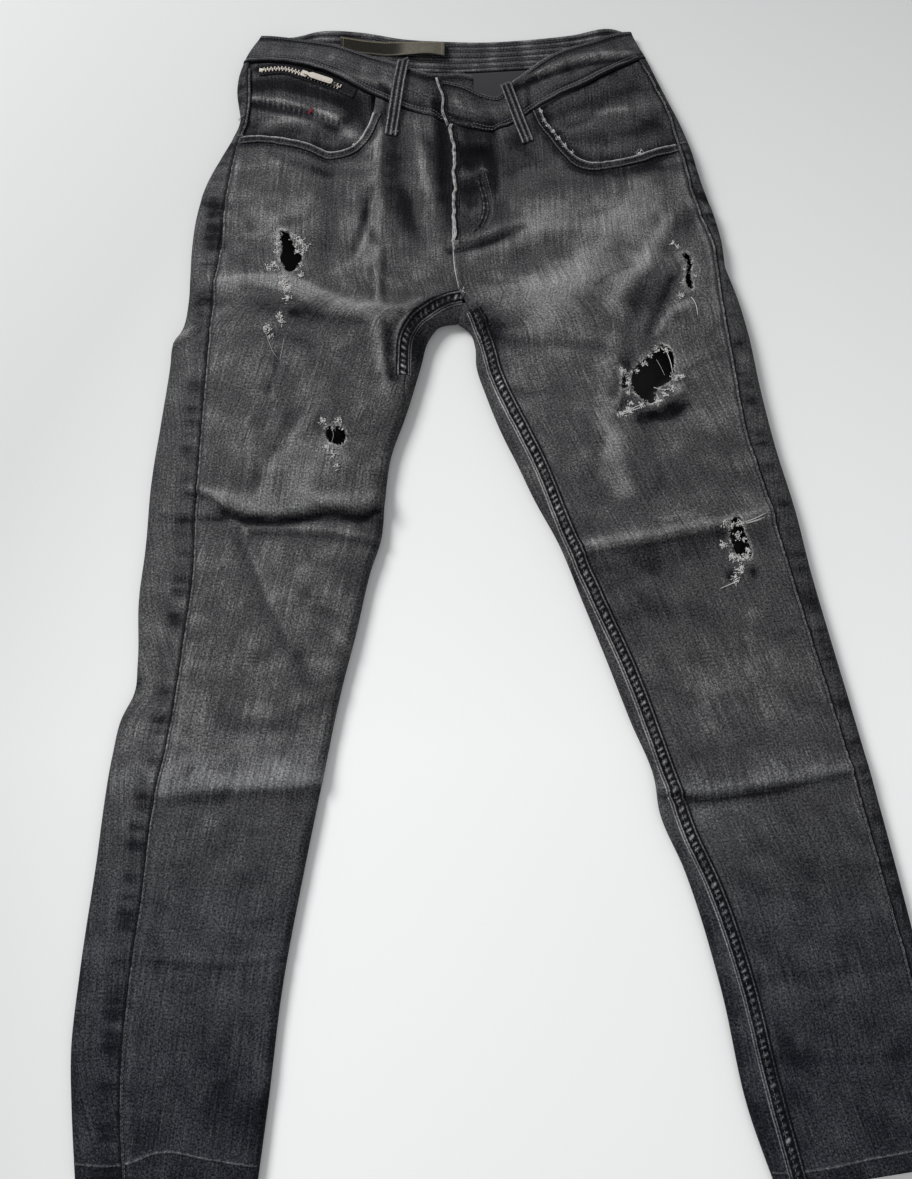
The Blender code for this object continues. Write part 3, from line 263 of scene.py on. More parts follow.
# Creases of the cloth: line, width on its left and on its right, height
CREASES = [
    ([(-217, 262), (-194, 255), (-173, 252), (-147, 256), (-114, 263), (-100, 260), (-86, 260),
      (-75, 268)], 6.0, 2.6, 3.2),
    ([(-216, 256), (-194, 248), (-173, 245), (-147, 249), (-114, 256), (-100, 253), (-86, 253),
      (-76, 260)], 2.4, 5.0, -3.0),
    ([(-255, 281), (-238, 276), (-225, 271), (-217, 263)], 5.0, 2.4, 1.6),
    ([(-255, 275), (-238, 270), (-225, 265), (-217, 257)], 2.4, 4.0, -1.8),
    ([(-213, 247), (-203, 244), (-195, 235)], 3.0, 2.4, 1.8),
    ([(-190, 240), (-147, 239), (-104, 236), (-70, 231)], 4.0, 2.0, 1.2),
    ([(-190, 235), (-147, 234), (-104, 230), (-70, 225)], 2.0, 4.5, -1.6),
    ([(-276, 252), (-255, 250), (-214, 247)], 2.5, 3.0, -1.2),
    ([(-203, 231), (-192, 210), (-180, 181), (-156, 133)], 2.2, 5.0, -0.6),
    ([(-200, 232), (-189, 211), (-177, 182), (-153, 134)], 4.0, 2.2, 0.5),
    ([(-78, 640), (-79, 600), (-85, 550), (-94, 517)], 4.0, 4.0, 1.6),
    ([(-84, 588), (-91, 558), (-100, 525)], 4.0, 4.0, -1.8),
    ([(-75, 560), (-76, 519), (-77, 470)], 3.0, 3.5, 1.3),
    ([(-70, 520), (-70, 490), (-69, 468)], 3.5, 3.5, -1.3),
    ([(-84, 500), (-82, 484), (-80, 468)], 3.5, 3.5, -1.2),
    ([(-41, 668), (-36, 632), (-30, 598), (-22, 569)], 5.0, 4.0, 1.6),
    ([(-26, 644), (-19, 609), (-14, 580)], 4.0, 4.0, -1.5),
    ([(-52, 590), (-45, 558), (-35, 532)], 6.0, 6.0, -1.3),
    ([(-188, 636), (-162, 620), (-129, 608)], 5.0, 4.0, -1.6),
    ([(-221, 618), (-180, 622), (-149, 614)], 4.0, 4.0, 1.0),
    ([(-238, 491), (-195, 495), (-155, 489), (-110, 463), (-74, 448)], 3.2, 4.5, 1.7),
    ([(-205, 484), (-165, 473), (-134, 454), (-88, 446)], 3.5, 6.0, -1.6),
    ([(-125, 475), (-95, 461), (-55, 462), (-24, 476)], 4.0, 3.5, 1.5),
    ([(-74, 447), (-73, 422), (-66, 381)], 2.6, 4.0, 1.9),
    ([(-68, 445), (-67, 420), (-62, 392)], 3.0, 3.0, -2.0),
    ([(-40, 463), (-54, 444), (-59, 410)], 3.0, 4.0, 1.8),
    ([(-52, 459), (-62, 440), (-64, 418)], 2.6, 2.6, -1.8),
    ([(-180, 433), (-153, 428), (-141, 421)], 6.0, 6.0, -1.2),
    ([(-172, 412), (-176, 390), (-180, 374)], 3.0, 4.0, -1.5),
    ([(-177, 398), (-176, 380), (-175, 366)], 3.0, 2.5, 1.0),
    ([(-148, 353), (-164, 328), (-178, 308), (-192, 278)], 6.0, 6.0, -0.9),
    ([(-140, 350), (-156, 325), (-170, 300), (-182, 276)], 8.0, 8.0, 1.0),
    ([(-280, 426), (-261, 434), (-250, 441)], 3.0, 4.0, -2.0),
    ([(-279, 432), (-262, 440), (-250, 447)], 4.0, 3.0, 1.2),
    ([(-266, 490), (-253, 464)], 6.0, 6.0, -1.2),
    ([(-238, 552), (-232, 534)], 6.0, 5.0, -2.2),
    ([(-258, 585), (-244, 578), (-229, 575)], 3.0, 3.0, -1.4),
    ([(-262, 596), (-246, 589), (-232, 587)], 3.5, 3.0, 0.9),
    ([(-256, 571), (-243, 566), (-231, 565)], 3.5, 3.0, 0.8),
    ([(-142, 118), (-131, 92), (-105, 100)], 6.0, 6.0, -1.3),
    ([(-208, 62), (-167, 54), (-136, 71)], 8.0, 8.0, -1.2),
    ([(-262, -4), (-227, -1), (-191, 3), (-156, 5), (-121, 8)], 9.0, 4.0, 1.2),
    ([(-262, -12), (-227, -9), (-191, -5), (-156, -3), (-121, 0)], 4.0, 8.0, -1.0),
    ([(-262, -145), (-227, -148), (-184, -149), (-142, -142)], 4.0, 4.0, -0.8),
    ([(-262, -139), (-227, -142), (-184, -143), (-142, -136)], 5.0, 3.0, 0.7),
    ([(-201, -244), (-184, -237), (-172, -231)], 6.0, 6.0, -0.9),
    ([(-308, 60), (-300, 84), (-290, 96)], 6.0, 5.0, -1.5),
    ([(187, 586), (145, 530), (103, 475), (83, 443)], 12.0, 12.0, 1.0),
    ([(237, 569), (204, 514), (170, 468)], 9.0, 9.0, -1.6),
    ([(216, 560), (185, 512), (150, 462)], 7.0, 7.0, 1.1),
    ([(40, 546), (80, 556), (108, 571)], 6.0, 6.0, 1.2),
    ([(60, 520), (90, 530), (112, 543)], 7.0, 8.0, -0.8),
    ([(183, 486), (171, 443), (166, 400)], 7.0, 7.0, -1.3),
    ([(196, 434), (211, 456), (231, 468)], 5.0, 4.0, 1.8),
    ([(189, 438), (202, 466), (215, 494)], 5.0, 6.0, -2.0),
    ([(113, 617), (147, 609), (188, 617), (220, 636)], 5.0, 5.0, -1.6),
    ([(26, 454), (43, 440), (75, 436)], 5.0, 5.0, 1.4),
    ([(28, 444), (52, 430), (102, 424), (141, 420)], 5.0, 7.0, -1.3),
    ([(31, 459), (24, 440), (22, 420)], 3.0, 3.0, 1.8),
    ([(168, 400), (154, 359), (140, 328), (129, 288)], 4.0, 9.0, -1.8),
    ([(143, 345), (152, 308), (160, 278)], 10.0, 10.0, 1.5),
    ([(178, 348), (196, 352), (214, 368)], 5.0, 7.0, -2.2),
    ([(173, 390), (160, 372), (150, 352)], 4.0, 5.0, 1.2),
    ([(119, 223), (182, 231), (220, 239), (248, 243)], 6.0, 2.6, 2.2),
    ([(124, 215), (182, 223), (220, 231), (250, 236)], 2.6, 7.0, -2.2),
    ([(270, 249), (294, 257)], 4.0, 2.6, 1.2),
    ([(185, 1), (220, -3), (261, 2), (314, 12), (351, 19)], 6.0, 3.0, 1.4),
    ([(185, -5), (220, -9), (261, -4), (314, 6), (351, 13)], 3.0, 4.0, -2.0),
    ([(187, -14), (224, -17), (260, -11)], 5.0, 7.0, 0.9),
    ([(176, 3), (181, -19), (192, -42)], 4.0, 4.0, 1.2),
    ([(259, -158), (319, -154), (379, -146)], 6.0, 5.0, -0.7),
    ([(272, -221), (330, -223), (381, -218)], 6.0, 5.0, -0.7),
    ([(150, 150), (190, 160), (240, 158)], 14.0, 14.0, -0.8),
    ([(230, 90), (290, 104), (330, 100)], 14.0, 14.0, 0.9),
    ([(161, 400), (160, 378), (152, 356), (142, 336)], 3.0, 3.0, 2.0),
    ([(168, 366), (150, 350), (138, 322)], 4.0, 4.0, -1.2),
    ([(196, 362), (208, 364), (216, 376)], 5.0, 5.0, 2.4),
    ([(190, 352), (206, 350), (222, 362)], 3.0, 5.0, -2.4),
    ([(-1, 690), (10, 678), (26, 676)], 4.0, 4.0, 1.4),
    ([(0, 668), (14, 660), (30, 662)], 4.0, 4.0, -1.6),
    ([(2, 650), (14, 642), (28, 646)], 4.0, 5.0, 1.6),
    ([(2, 634), (16, 628), (28, 634)], 4.0, 4.0, -1.6),
    ([(2, 614), (14, 606), (27, 612)], 5.0, 5.0, 1.6),
    ([(2, 592), (14, 586), (26, 592)], 5.0, 5.0, -1.2),
    ([(4, 572), (16, 562), (28, 566)], 5.0, 5.0, 1.2),
    ([(38, 668), (36, 630), (40, 590)], 4.0, 5.0, -2.0),
    ([(46, 660), (46, 620), (48, 580)], 5.0, 5.0, 1.4),
    ([(-6, 523), (14, 526), (39, 535), (66, 549)], 4.0, 3.5, -2.6),
    ([(-2, 529), (14, 534), (38, 544)], 2.5, 3.0, 1.4),
    ([(-92, 578), (-88, 552), (-78, 530)], 5.0, 5.0, -1.6),
    ([(-77, 668), (-76, 620), (-72, 560)], 4.0, 4.5, 1.8),
    ([(-18, 690), (-13, 650), (-12, 600)], 3.0, 3.0, -1.8),
    ([(-27, 690), (-23, 640), (-18, 590)], 4.0, 4.0, 1.6),
    ([(242, 602), (250, 590), (258, 588)], 4.0, 4.0, -2.0),
    ([(236, 640), (243, 622), (252, 618)], 4.0, 4.0, 1.2),
    ([(250, 568), (262, 560), (270, 552)], 4.0, 4.0, -1.6),
    ([(120, 655), (150, 675), (212, 700)], 9.0, 9.0, 1.4),
    ([(112, 668), (128, 672), (150, 690)], 5.0, 5.0, -1.4),
    ([(-208, 700), (-180, 694), (-150, 684)], 5.0, 4.0, -1.8),
    ([(-200, 684), (-165, 676), (-140, 670)], 4.0, 4.0, 1.2),
    ([(-212, 674), (-185, 668), (-160, 662)], 4.0, 4.0, -1.2),
]

# Tone of the cloth by plan Y, and places lighter or darker: faded wear, painted shade in folds and round
# the fly, the crotch and the rips, and painted highlights on raised folds and flaps. Each place: middle,
# half sizes, turn, change
TONE_AT = [-330, -260, -120, -20, 20, 120, 260, 420, 560, 680, 800]
TONE_RIGHT = [0.29, 0.29, 0.38, 0.45, 0.55, 0.52, 0.495, 0.485, 0.535, 0.46, 0.36]
TONE_LEFT = [0.28, 0.29, 0.34, 0.44, 0.45, 0.45, 0.46, 0.53, 0.56, 0.46, 0.36]
SPOTS = [
    ((-170, 340), (70, 90), 0, 0.03), ((-150, 300), (45, 26), -20, 0.08),
    ((-175, 30), (60, 26), 0, 0.08), ((-150, 185), (40, 40), 0, 0.05),
    ((-165, -190), (30, 60), 0, 0.04), ((-190, -262), (60, 16), 0, -0.05),
    ((-228, 455), (16, 40), 0, 0.04), ((-150, 575), (50, 40), 0, 0.03),
    ((-124, 560), (9, 60), -4, -0.12), ((-98, 560), (8, 46), -4, 0.08),
    ((-60, 580), (12, 50), 10, -0.22), ((-100, 466), (56, 8), -16, 0.12),
    ((-186, 487), (46, 8), -8, 0.12), ((-168, 462), (34, 9), -14, -0.12),
    ((-40, 438), (9, 22), 0, -0.36), ((-14, 470), (20, 9), 0, -0.36),
    ((22, 460), (13, 12), 0, -0.36), ((46, 444), (17, 12), -20, -0.26),
    ((30, 436), (8, 22), 0, -0.3), ((-92, 567), (7, 30), 6, -0.14),
    ((-44, 556), (11, 24), 10, -0.18), ((-31, 612), (8, 40), 4, 0.14), ((-77, 640), (6, 40), 2, 0.16),
    ((-93, 643), (8, 9), 0, 0.30), ((-86, 668), (6, 15), 0, 0.26), ((-12, 640), (5, 60), 3, -0.24),
    ((-62, 650), (10, 10), 0, -0.2), ((12, 628), (13, 14), 0, -0.2), ((-6, 566), (5, 30), 0, -0.14),
    ((-245, 578), (9, 8), 0, -0.3), ((-244, 532), (8, 8), 0, -0.3), ((-130, 305), (26, 26), 0, 0.04),
    ((-36, 540), (12, 40), 10, 0.06), ((-30, 500), (22, 22), 0, 0.05),
    ((187, 512), (34, 12), 20, 0.20), ((83, 486), (50, 14), 8, 0.18),
    ((100, 560), (60, 26), 20, 0.04), ((215, 462), (8, 40), -25, 0.06),
    ((14, 640), (16, 40), 0, -0.38), ((12, 580), (14, 34), 0, -0.38),
    ((22, 548), (16, 9), 20, -0.16), ((-17, 636), (12, 56), 0, -0.34),
    ((-12, 585), (8, 44), 0, -0.16), ((42, 590), (12, 48), 6, -0.26),
    ((44, 535), (26, 7), 16, -0.18), ((8, 604), (8, 5), 0, 0.22), ((14, 668), (13, 5), -8, 0.16),
    ((62, 640), (34, 32), 0, -0.26), ((-62, 610), (30, 44), 0, -0.12), ((6, 510), (4, 26), 0, -0.20),
    ((215, 540), (14, 20), -30, 0.06), ((196, 476), (11, 34), -42, -0.18),
    ((120, 600), (60, 14), 8, -0.10), ((146, 318), (17, 40), -10, 0.11),
    ((128, 352), (8, 40), -14, -0.08), ((176, 340), (10, 40), 8, -0.10),
    ((185, 392), (40, 40), 0, 0.03), ((150, 232), (70, 9), 8, 0.05),
    ((190, 205), (60, 12), 8, -0.14), ((160, 160), (50, 30), 0, -0.05),
    ((240, 130), (50, 50), 0, 0.04), ((280, 60), (40, 40), 0, 0.04),
    ((250, -4), (80, 7), 6, -0.16), ((230, -40), (40, 24), 0, 0.06),
    ((310, -60), (30, 26), 0, -0.06), ((280, -150), (60, 30), 0, 0.03),
    ((255, 350), (20, 60), -14, 0.03), ((300, 500), (10, 60), -14, -0.05),
    ((-75, 250), (10, 30), 0, -0.05), ((-165, 264), (90, 5), 0, -0.03),
    ((-160, 249), (90, 3), 0, -0.22), ((208, 360), (9, 7), 20, -0.40),
    ((188, 352), (6, 4), 0, -0.3), ((166, 354), (9, 5), 30, 0.14), ((254, 194), (4, 5), 0, -0.4),
    ((276, 198), (4, 5), 0, -0.4), ((-159, 457), (6, 4), 0, -0.35), ((-30, 690), (12, 20), 0, -0.1),
    ((-248, 552), (8, 18), -8, -0.22), ((-256, 596), (12, 7), 0, -0.14),
    ((-240, 470), (8, 30), 0, -0.10), ((-44, 420), (8, 44), 8, -0.12),
    ((-30, 452), (14, 8), -30, -0.16), ((40, 420), (10, 60), -14, -0.10),
    ((120, 235), (10, 80), -22, -0.06), ((-220, 660), (8, 30), 0, -0.10),
    ((-130, 614), (50, 6), -8, -0.14), ((-66, 640), (10, 34), 6, -0.12),
    ((-100, 606), (34, 10), -14, 0.08), ((200, 618), (60, 6), 18, -0.18),
    ((110, 640), (7, 30), 40, -0.14), ((236, 560), (6, 34), -12, -0.14),
    ((250, 610), (10, 8), 0, -0.16), ((-205, 20), (10, 70), 0, -0.05),
    ((-192, -60), (26, 30), 0, 0.03), ((-160, 356), (6, 20), -10, -0.12),
    ((300, 30), (50, 14), 10, 0.05), ((-180, -4), (80, 5), 0, -0.10),
]


# Plan lines


def soft_step(x):
    """0 below 0, 1 above 1, with a smooth rise between."""
    x = np.clip(x, 0.0, 1.0)
    return x * x * (3 - 2 * x)


def hump(x, at, wide):
    """1 at a place, falling off smoothly on both sides."""
    return np.exp(-(((x - at) / wide) ** 2))


def smooth(points, steps=8):
    """A smooth curve through the points, as a dense line of points."""
    p = np.array(points, float)
    gap = np.linalg.norm(np.diff(p, axis=0), axis=1)[:, None]
    slope = np.diff(p, axis=0) / gap
    inner = (slope[:-1] * gap[1:] + slope[1:] * gap[:-1]) / (gap[:-1] + gap[1:])
    tangent = np.vstack([slope[:1], inner, slope[-1:]])
    t = np.linspace(0, 1, steps, endpoint=False)[:, None]
    runs = []
    for i in range(len(p) - 1):
        start = (2 * t**3 - 3 * t**2 + 1) * p[i] + (t**3 - 2 * t**2 + t) * gap[i] * tangent[i]
        end = (3 * t**2 - 2 * t**3) * p[i + 1] + (t**3 - t**2) * gap[i] * tangent[i + 1]
        runs.append(start + end)
    runs.append(p[-1:])
    return np.vstack(runs)


def lengths(line):
    """The distance along a line to each of its points."""
    return np.concatenate([[0.0], np.cumsum(np.linalg.norm(np.diff(line, axis=0), axis=1))])


def at_many(line, distances):
    """The points of a line at distances from its start."""
    run = lengths(line)
    return np.column_stack([np.interp(distances, run, column) for column in line.T])


def at_shares(line, shares):
    """The points of a line at shares of its length."""
    return at_many(line, shares * lengths(line)[-1])


def at_share(line, share):
    """The point of a line at a share of its length."""
    return at_many(line, [share * lengths(line)[-1]])[0]


def evenly(line, step):
    """A line's points laid out again at an even step."""
    long = lengths(line)[-1]
    return at_many(line, np.linspace(0, long, max(2, round(long / step) + 1)))


def closed(outline):
    """An outline with its first point once more at its end."""
    return np.vstack([outline, outline[:1]])


def unit(ways):
    """Directions, row by row, at length one."""
    return ways / np.maximum(np.linalg.norm(ways, axis=-1, keepdims=True), 1e-9)


def joined(*lines):
    """Lines that meet end to end, as one line."""
    return np.vstack([lines[0]] + [line[1:] for line in lines[1:]])


def nearest_on(points, line):
    """(distance, run along the line, side, way away) for each point; left is side 1."""
    a, b = line[:-1], line[1:]
    run = b - a
    square = np.maximum((run**2).sum(1), 1e-9)
    starts = lengths(line)[:-1]
    found = []
    for part in np.array_split(points, max(1, len(points) // 3000)):
        share = np.clip(((part[:, None] - a) * run).sum(2) / square, 0, 1)
        away = part[:, None] - (a + share[:, :, None] * run)
        far = (away**2).sum(2)
        k = far.argmin(1)
        rows = np.arange(len(part))
        far, away, share = np.sqrt(far[rows, k]), away[rows, k], share[rows, k]
        side = np.where(run[k, 0] * away[:, 1] - run[k, 1] * away[:, 0] >= 0, 1.0, -1.0)
        place = starts[k] + share * np.sqrt(square[k])
        found.append(np.column_stack([far, place, side, away]))
    found = np.vstack(found)
    return found[:, 0], found[:, 1], found[:, 2], found[:, 3:5]


def inside_any(points, outlines):
    """True for the points inside any of some closed outlines."""
    hit = np.zeros(len(points), bool)
    for outline in outlines:
        hit |= inside(points, outline)
    return hit


def inside(points, outline):
    """True for the points inside a closed outline."""
    x, y = points[:, 0], points[:, 1]
    hit = np.zeros(len(points), bool)
    for (x0, y0), (x1, y1) in zip(outline, np.roll(outline, -1, axis=0)):
        crosses = (y0 > y) != (y1 > y)
        at = (x1 - x0) * (y - y0) / (y1 - y0 if y1 != y0 else 1e-9) + x0
        hit ^= crosses & (x < at)
    return hit


class Half:
    """The plan lines of one half of the garment, -1 for the right and 1 for the left."""

    def __init__(self, side):
        right = side < 0
        part = SEAM_GAP / 2 * side
        self.side = side
        self.outer = (smooth(OUTER_RIGHT_HIP if right else OUTER_LEFT_HIP),
                      smooth(OUTER_RIGHT_LEG if right else OUTER_LEFT_LEG))
        self.outseam = (smooth(OUTSEAM_RIGHT_HIP if right else OUTSEAM_LEFT_HIP),
                        smooth(OUTSEAM_RIGHT_LEG if right else OUTSEAM_LEFT_LEG))
        self.front_middle = smooth(FRONT_MIDDLE) + (part, 0)
        self.back_middle = smooth(BACK_MIDDLE) + (part, 0)
        self.inseam = smooth(INSEAM_RIGHT if right else INSEAM_LEFT) + (part, 0)
        self.inner = smooth(INNER_RIGHT if right else INNER_LEFT)
        self.waist = smooth(WAIST_SEAM_RIGHT if right else WAIST_SEAM_LEFT)
        self.crotch = np.array(CROTCH, float) + (part, 0)
        self.gap_top = np.array(GAP_TOP, float) + (part, 0)

    def outer_at(self, v):
        return at_share(self.outer[int(v > 1)], v - int(v > 1))

    def outseam_at(self, v):
        return at_share(self.outseam[int(v > 1)], v - int(v > 1))

    def inner_at(self, v, line):
        """The inner end of row v: the middle line over the crotch, then the gap's edge."""
        if v <= 1:
            return at_share(line, v)
        share = v - 1
        if share <= GAP_SHARE:
            return self.crotch + (self.gap_top - self.crotch) * share / GAP_SHARE
        point = at_share(self.inner, (share - GAP_SHARE) / (1 - GAP_SHARE))
        return point + (SEAM_GAP / 2 * self.side * (share < 2 * GAP_SHARE), 0)

    def inseam_at(self, v):
        """(the point where the inseam crosses row v, how far it lies round the inner edge)."""
        share = v - 1
        if self.side > 0:
            return at_share(self.inseam, share), None
        if share <= INSEAM_RIGHT_SHOWS:
            return at_share(self.inseam, share / INSEAM_RIGHT_SHOWS), None
        past = float(soft_step((share - INSEAM_RIGHT_SHOWS) / INSEAM_RIGHT_TUCK_OVER))
        return None, INSEAM_RIGHT_INSET + (INSEAM_RIGHT_TUCK - INSEAM_RIGHT_INSET) * past

    def top_row(self, v):
        """(the row's plan line on the upper side, distance to the outseam, inseam's place)."""
        outer, outseam = self.outer_at(v), self.outseam_at(v)
        wide = np.linalg.norm(outseam - outer)
        if v <= 1:
            end = self.inner_at(v, self.front_middle)
            shares = np.linspace(0, 1, 33)
            straight = outseam + np.outer(shares, end - outseam)
            chord = self.waist[0] + np.outer(shares, self.waist[-1] - self.waist[0])
            bow = at_shares(self.waist, shares) - chord
            return np.vstack([[outer], straight + (1 - v) ** 1.5 * bow]), wide, 0.0
        inner = self.inner_at(v, None)
        inseam, tuck = self.inseam_at(v)
        if inseam is None:
            return np.array([outer, outseam, inner]), wide, tuck
        line = np.array([outer, outseam, inseam, inner])
        return line, wide, -np.linalg.norm(inner - inseam)

    def under_row(self, v):
        """The row's plan line on the underside, from its inner end to its outer end."""
        return np.array([self.inner_at(v, self.back_middle), self.outer_at(v)])


RIGHT = Half(-1)
LEFT = Half(1)
HALVES = {"right": RIGHT, "left": LEFT}
EDGE_LINES = [
    joined(smooth(OUTER_RIGHT_BAND), *RIGHT.outer),
    joined(smooth(OUTER_LEFT_BAND), *LEFT.outer),
    joined(smooth(INNER_RIGHT)[::-1], smooth(INNER_LEFT)),
]
OUTSEAMS = {"right": joined(*RIGHT.outseam), "left": joined(*LEFT.outseam)}


# The cloth's surface


class DistanceMap:
    """Distances to the three folded edges: read off a map, and worked out near them."""

    step = 5.0
    near = 22.0

    def __init__(self):
        self.low = np.array([-345.0, -345.0])
        shape = np.array([158, 236])
        x = self.low[0] + self.step * np.arange(shape[0])
        y = self.low[1] + self.step * np.arange(shape[1])
        grid = np.stack(np.meshgrid(x, y, indexing="ij"), -1).reshape(-1, 2)
        self.maps = [nearest_on(grid, line)[0].reshape(shape) for line in EDGE_LINES]

    def read(self, plan):
        """(distance to each edge, distance to the nearest one)."""
        at = (plan - self.low) / self.step
        cell = np.clip(at.astype(int), 0, np.array(self.maps[0].shape) - 2)
        u, v = (at - cell).T
        i, j = cell.T
        far = []
        for table, line in zip(self.maps, EDGE_LINES):
            d = (table[i, j] * (1 - u) * (1 - v) + table[i + 1, j] * u * (1 - v)
                 + table[i, j + 1] * (1 - u) * v + table[i + 1, j + 1] * u * v)
            close = d < self.near
            if close.any():
                d[close] = nearest_on(plan[close], line)[0]
            far.append(d)
        far = np.maximum(np.array(far), 0.01)
        return far, far.min(0)


EDGES = DistanceMap()


def edge_rise(plan):
    """Half the thickness of the laid garment at its folded edges."""
    share = soft_step((plan[:, 1] + 250) / 750)
    return EDGE_RISE_HEM + (EDGE_RISE_HIP - EDGE_RISE_HEM) * share


def waist_shape(plan):
    """How the open waist lifts in its middle and droops at its sides."""
    x, y = plan[:, 0], plan[:, 1]
    middle = hump(x, 6, WAIST_LIFT_WIDTH)
    lift = WAIST_LIFT * soft_step((y - WAIST_LIFT_FROM) / WAIST_LIFT_OVER) * middle
    droop = WAIST_DROOP * soft_step((y - WAIST_DROOP_FROM) / WAIST_DROOP_OVER) * (1 - middle)
    return lift - droop


def small_creases():
    """Short wrinkles scattered over the cloth, fewer towards the hems."""
    rng = np.random.default_rng(23)
    made = []
    while len(made) < SMALL_CREASES:
        y = rng.uniform(-320, 690)
        half = RIGHT if rng.random() < 0.5 else LEFT
        line = OUTSEAMS["right" if half is RIGHT else "left"]
        edge = np.interp(y, line[::-1, 1], line[::-1, 0])
        inner = smooth(INSEAM_RIGHT + INNER_RIGHT[5:]) if half is RIGHT else half.inseam
        end = np.interp(y, inner[::-1, 1], inner[::-1, 0]) if y < 470 else -4
        x = edge + (end - edge) * rng.uniform(0.04, 0.97)
        if rng.random() > np.interp(y, [-320, 0, 300, 500, 690], [0.25, 0.4, 0.6, 1.0, 1.0]):
            continue
        steep = rng.random() < 0.35
        angle = rng.normal(math.pi / 2 if steep else 0, 0.45)
        long = rng.uniform(14, 48) * (0.7 if steep else 1)
        way = np.array([math.cos(angle), math.sin(angle)])
        side = np.array([-way[1], way[0]]) * rng.normal(0, 0.09) * long
        middle = np.array([x, y])
        wide = rng.uniform(2.2, 5.0)
        high = rng.choice([-1, 1]) * rng.uniform(0.25, 0.75)
        made.append(([tuple(middle - way * long / 2), tuple(middle + side),
                      tuple(middle + way * long / 2)], wide, wide * rng.uniform(0.6, 1.5), high))
    return made


CREASE_LINES = [(smooth(line, 4), w, w, high) for line, w, high in FOLDS]
CREASE_LINES += [(smooth(line, 5), left, right, 1.35 * high)
                 for line, left, right, high in CREASES + small_creases()]


def wave(run, seed):
    """A smooth uneven wave from -1 to 1 along a line."""
    rng = np.random.default_rng(seed)
    total = np.zeros_like(run)
    for period, share in ((41.0, 0.3), (23.0, 0.4), (13.0, 0.3)):
        total += share * np.sin(2 * math.pi * run / (period * rng.uniform(0.85, 1.15))
                                + rng.uniform(0, 6.28))
    return total


def ripples(plan):
    """Small soft waves of the cloth, from about -1 to 1."""
    rng = np.random.default_rng(11)
    total = np.zeros(len(plan))
    for _ in range(14):
        period = rng.uniform(26, 90)
        angle = rng.uniform(-0.6, 0.6)
        way = np.array([math.sin(angle), math.cos(angle)])
        bend = 9 * np.sin(plan @ np.array([way[1], -way[0]]) / rng.uniform(18, 40)
                          + rng.uniform(0, 6.28))
        total += np.sin(2 * math.pi * (plan @ way + bend) / period + rng.uniform(0, 6.28))
    return total / 14


PUCKER_LINES = [
    (OUTSEAMS["right"], 9.0, 0.75, 1), (OUTSEAMS["left"], 9.0, 0.7, 2),
    (smooth(INSEAM_LEFT), 9.0, 0.45, 3), (smooth(MOUTH_RIGHT), 8.0, 0.5, 4),
    (smooth(MOUTH_LEFT), 8.0, 0.5, 5), (smooth(WAIST_SEAM_RIGHT), 7.0, 0.5, 6),
    (smooth(WAIST_SEAM_LEFT), 7.0, 0.5, 7),
]
HEM_RIGHT = smooth([(-316, -303), (-277, -303), (-245, -293), (-201, -299), (-165, -305)])
HEM_LEFT = smooth([(262, -310), (288, -308), (343, -298), (378, -292), (423, -284)])


def close_to(plan, line, reach):
    """Mask of the points within reach of a line's box."""
    low, high = line.min(0) - reach, line.max(0) + reach
    return ((plan > low) & (plan < high)).all(1)


def cloth_shape(plan, plain=False):
    """(height, ridge or valley share, distance to the nearest edge); plain has no creases."""
    far, near = EDGES.read(plan)
    y = plan[:, 1]
    inner = np.sum(far ** -4.0, axis=0) ** (-1 / 4)
    share = 1 - np.minimum(inner / np.interp(y, CROWN_AT, CROWN_REACH), 1)
    height = np.interp(y, CROWN_AT, CROWN_HIGH) * (1 - share**2) + waist_shape(plan)
    # ridge is the creases' share of the tone: painted highlight on their ridges and painted shade in
    # their hollows, partly wear.
    ridge = np.zeros(len(plan))
    for k, (line, left, right, high) in enumerate(CREASE_LINES[:len(FOLDS) if plain else None]):
        mask = close_to(plan, line, 2.6 * max(left, right))
        if not mask.any():
            continue
        d, _, side, _ = nearest_on(plan[mask], line)
        bump = high * hump(d, 0, np.where(side > 0, left, right))
        height[mask] += bump
        ridge[mask] += bump / (2.2 if k >= len(FOLDS) else 5.0)
    for line, width, high, seed in [] if plain else PUCKER_LINES:
        mask = close_to(plan, line, 2.5 * width)
        if mask.any():
            d, run, _, _ = nearest_on(plan[mask], line)
            bump = high * wave(run, seed) * hump(d, 0, width)
            height[mask] += bump
            ridge[mask] += 0.5 * bump
    small = 0 * y if plain else ripples(plan)
    height += 0.9 * small * soft_step((y + 330) / 60)
    ridge += 0.35 * small
    return height, ridge, near


def surface(plan, upper, plain=False):
    """(points of the outer face, ridge share, distance to the nearest edge) over plan points."""
    plan = np.atleast_2d(np.array(plan, float))
    upper = np.broadcast_to(upper, len(plan))
    height, ridge, near = cloth_shape(plan, plain)
    rise = edge_rise(plan)
    inward = 1 - np.minimum(near / (EDGE_REACH * rise), 1)
    full = np.sqrt(np.maximum(1 - inward**2, 0))
    top = rise + full * (rise + height)
    raised = SEAT_RAISE * soft_step((plan[:, 1] - SEAT_RAISE_FROM) / SEAT_RAISE_OVER)
    under = rise * (1 - full) + raised * full
    return np.column_stack([plan, np.where(upper, top, under)]), np.where(upper, ridge, 0), near


def on_top(plan, lift=0.0, plain=False):
    """(points on the upper side lifted along its normal, normals) over plan points."""
    plan = np.atleast_2d(np.array(plan, float))
    step = 0.8
    many = np.vstack([plan, plan + (step, 0), plan + (0, step)])
    z = surface(many, True, plain)[0][:, 2].reshape(3, -1)
    slope = np.clip(np.column_stack([z[1] - z[0], z[2] - z[0]]) / step, -3, 3)
    normal = unit(np.column_stack([-slope, np.ones(len(plan))]))
    lift = np.broadcast_to(lift, len(plan))[:, None]
    return np.column_stack([plan, z[0]]) + lift * normal, normal


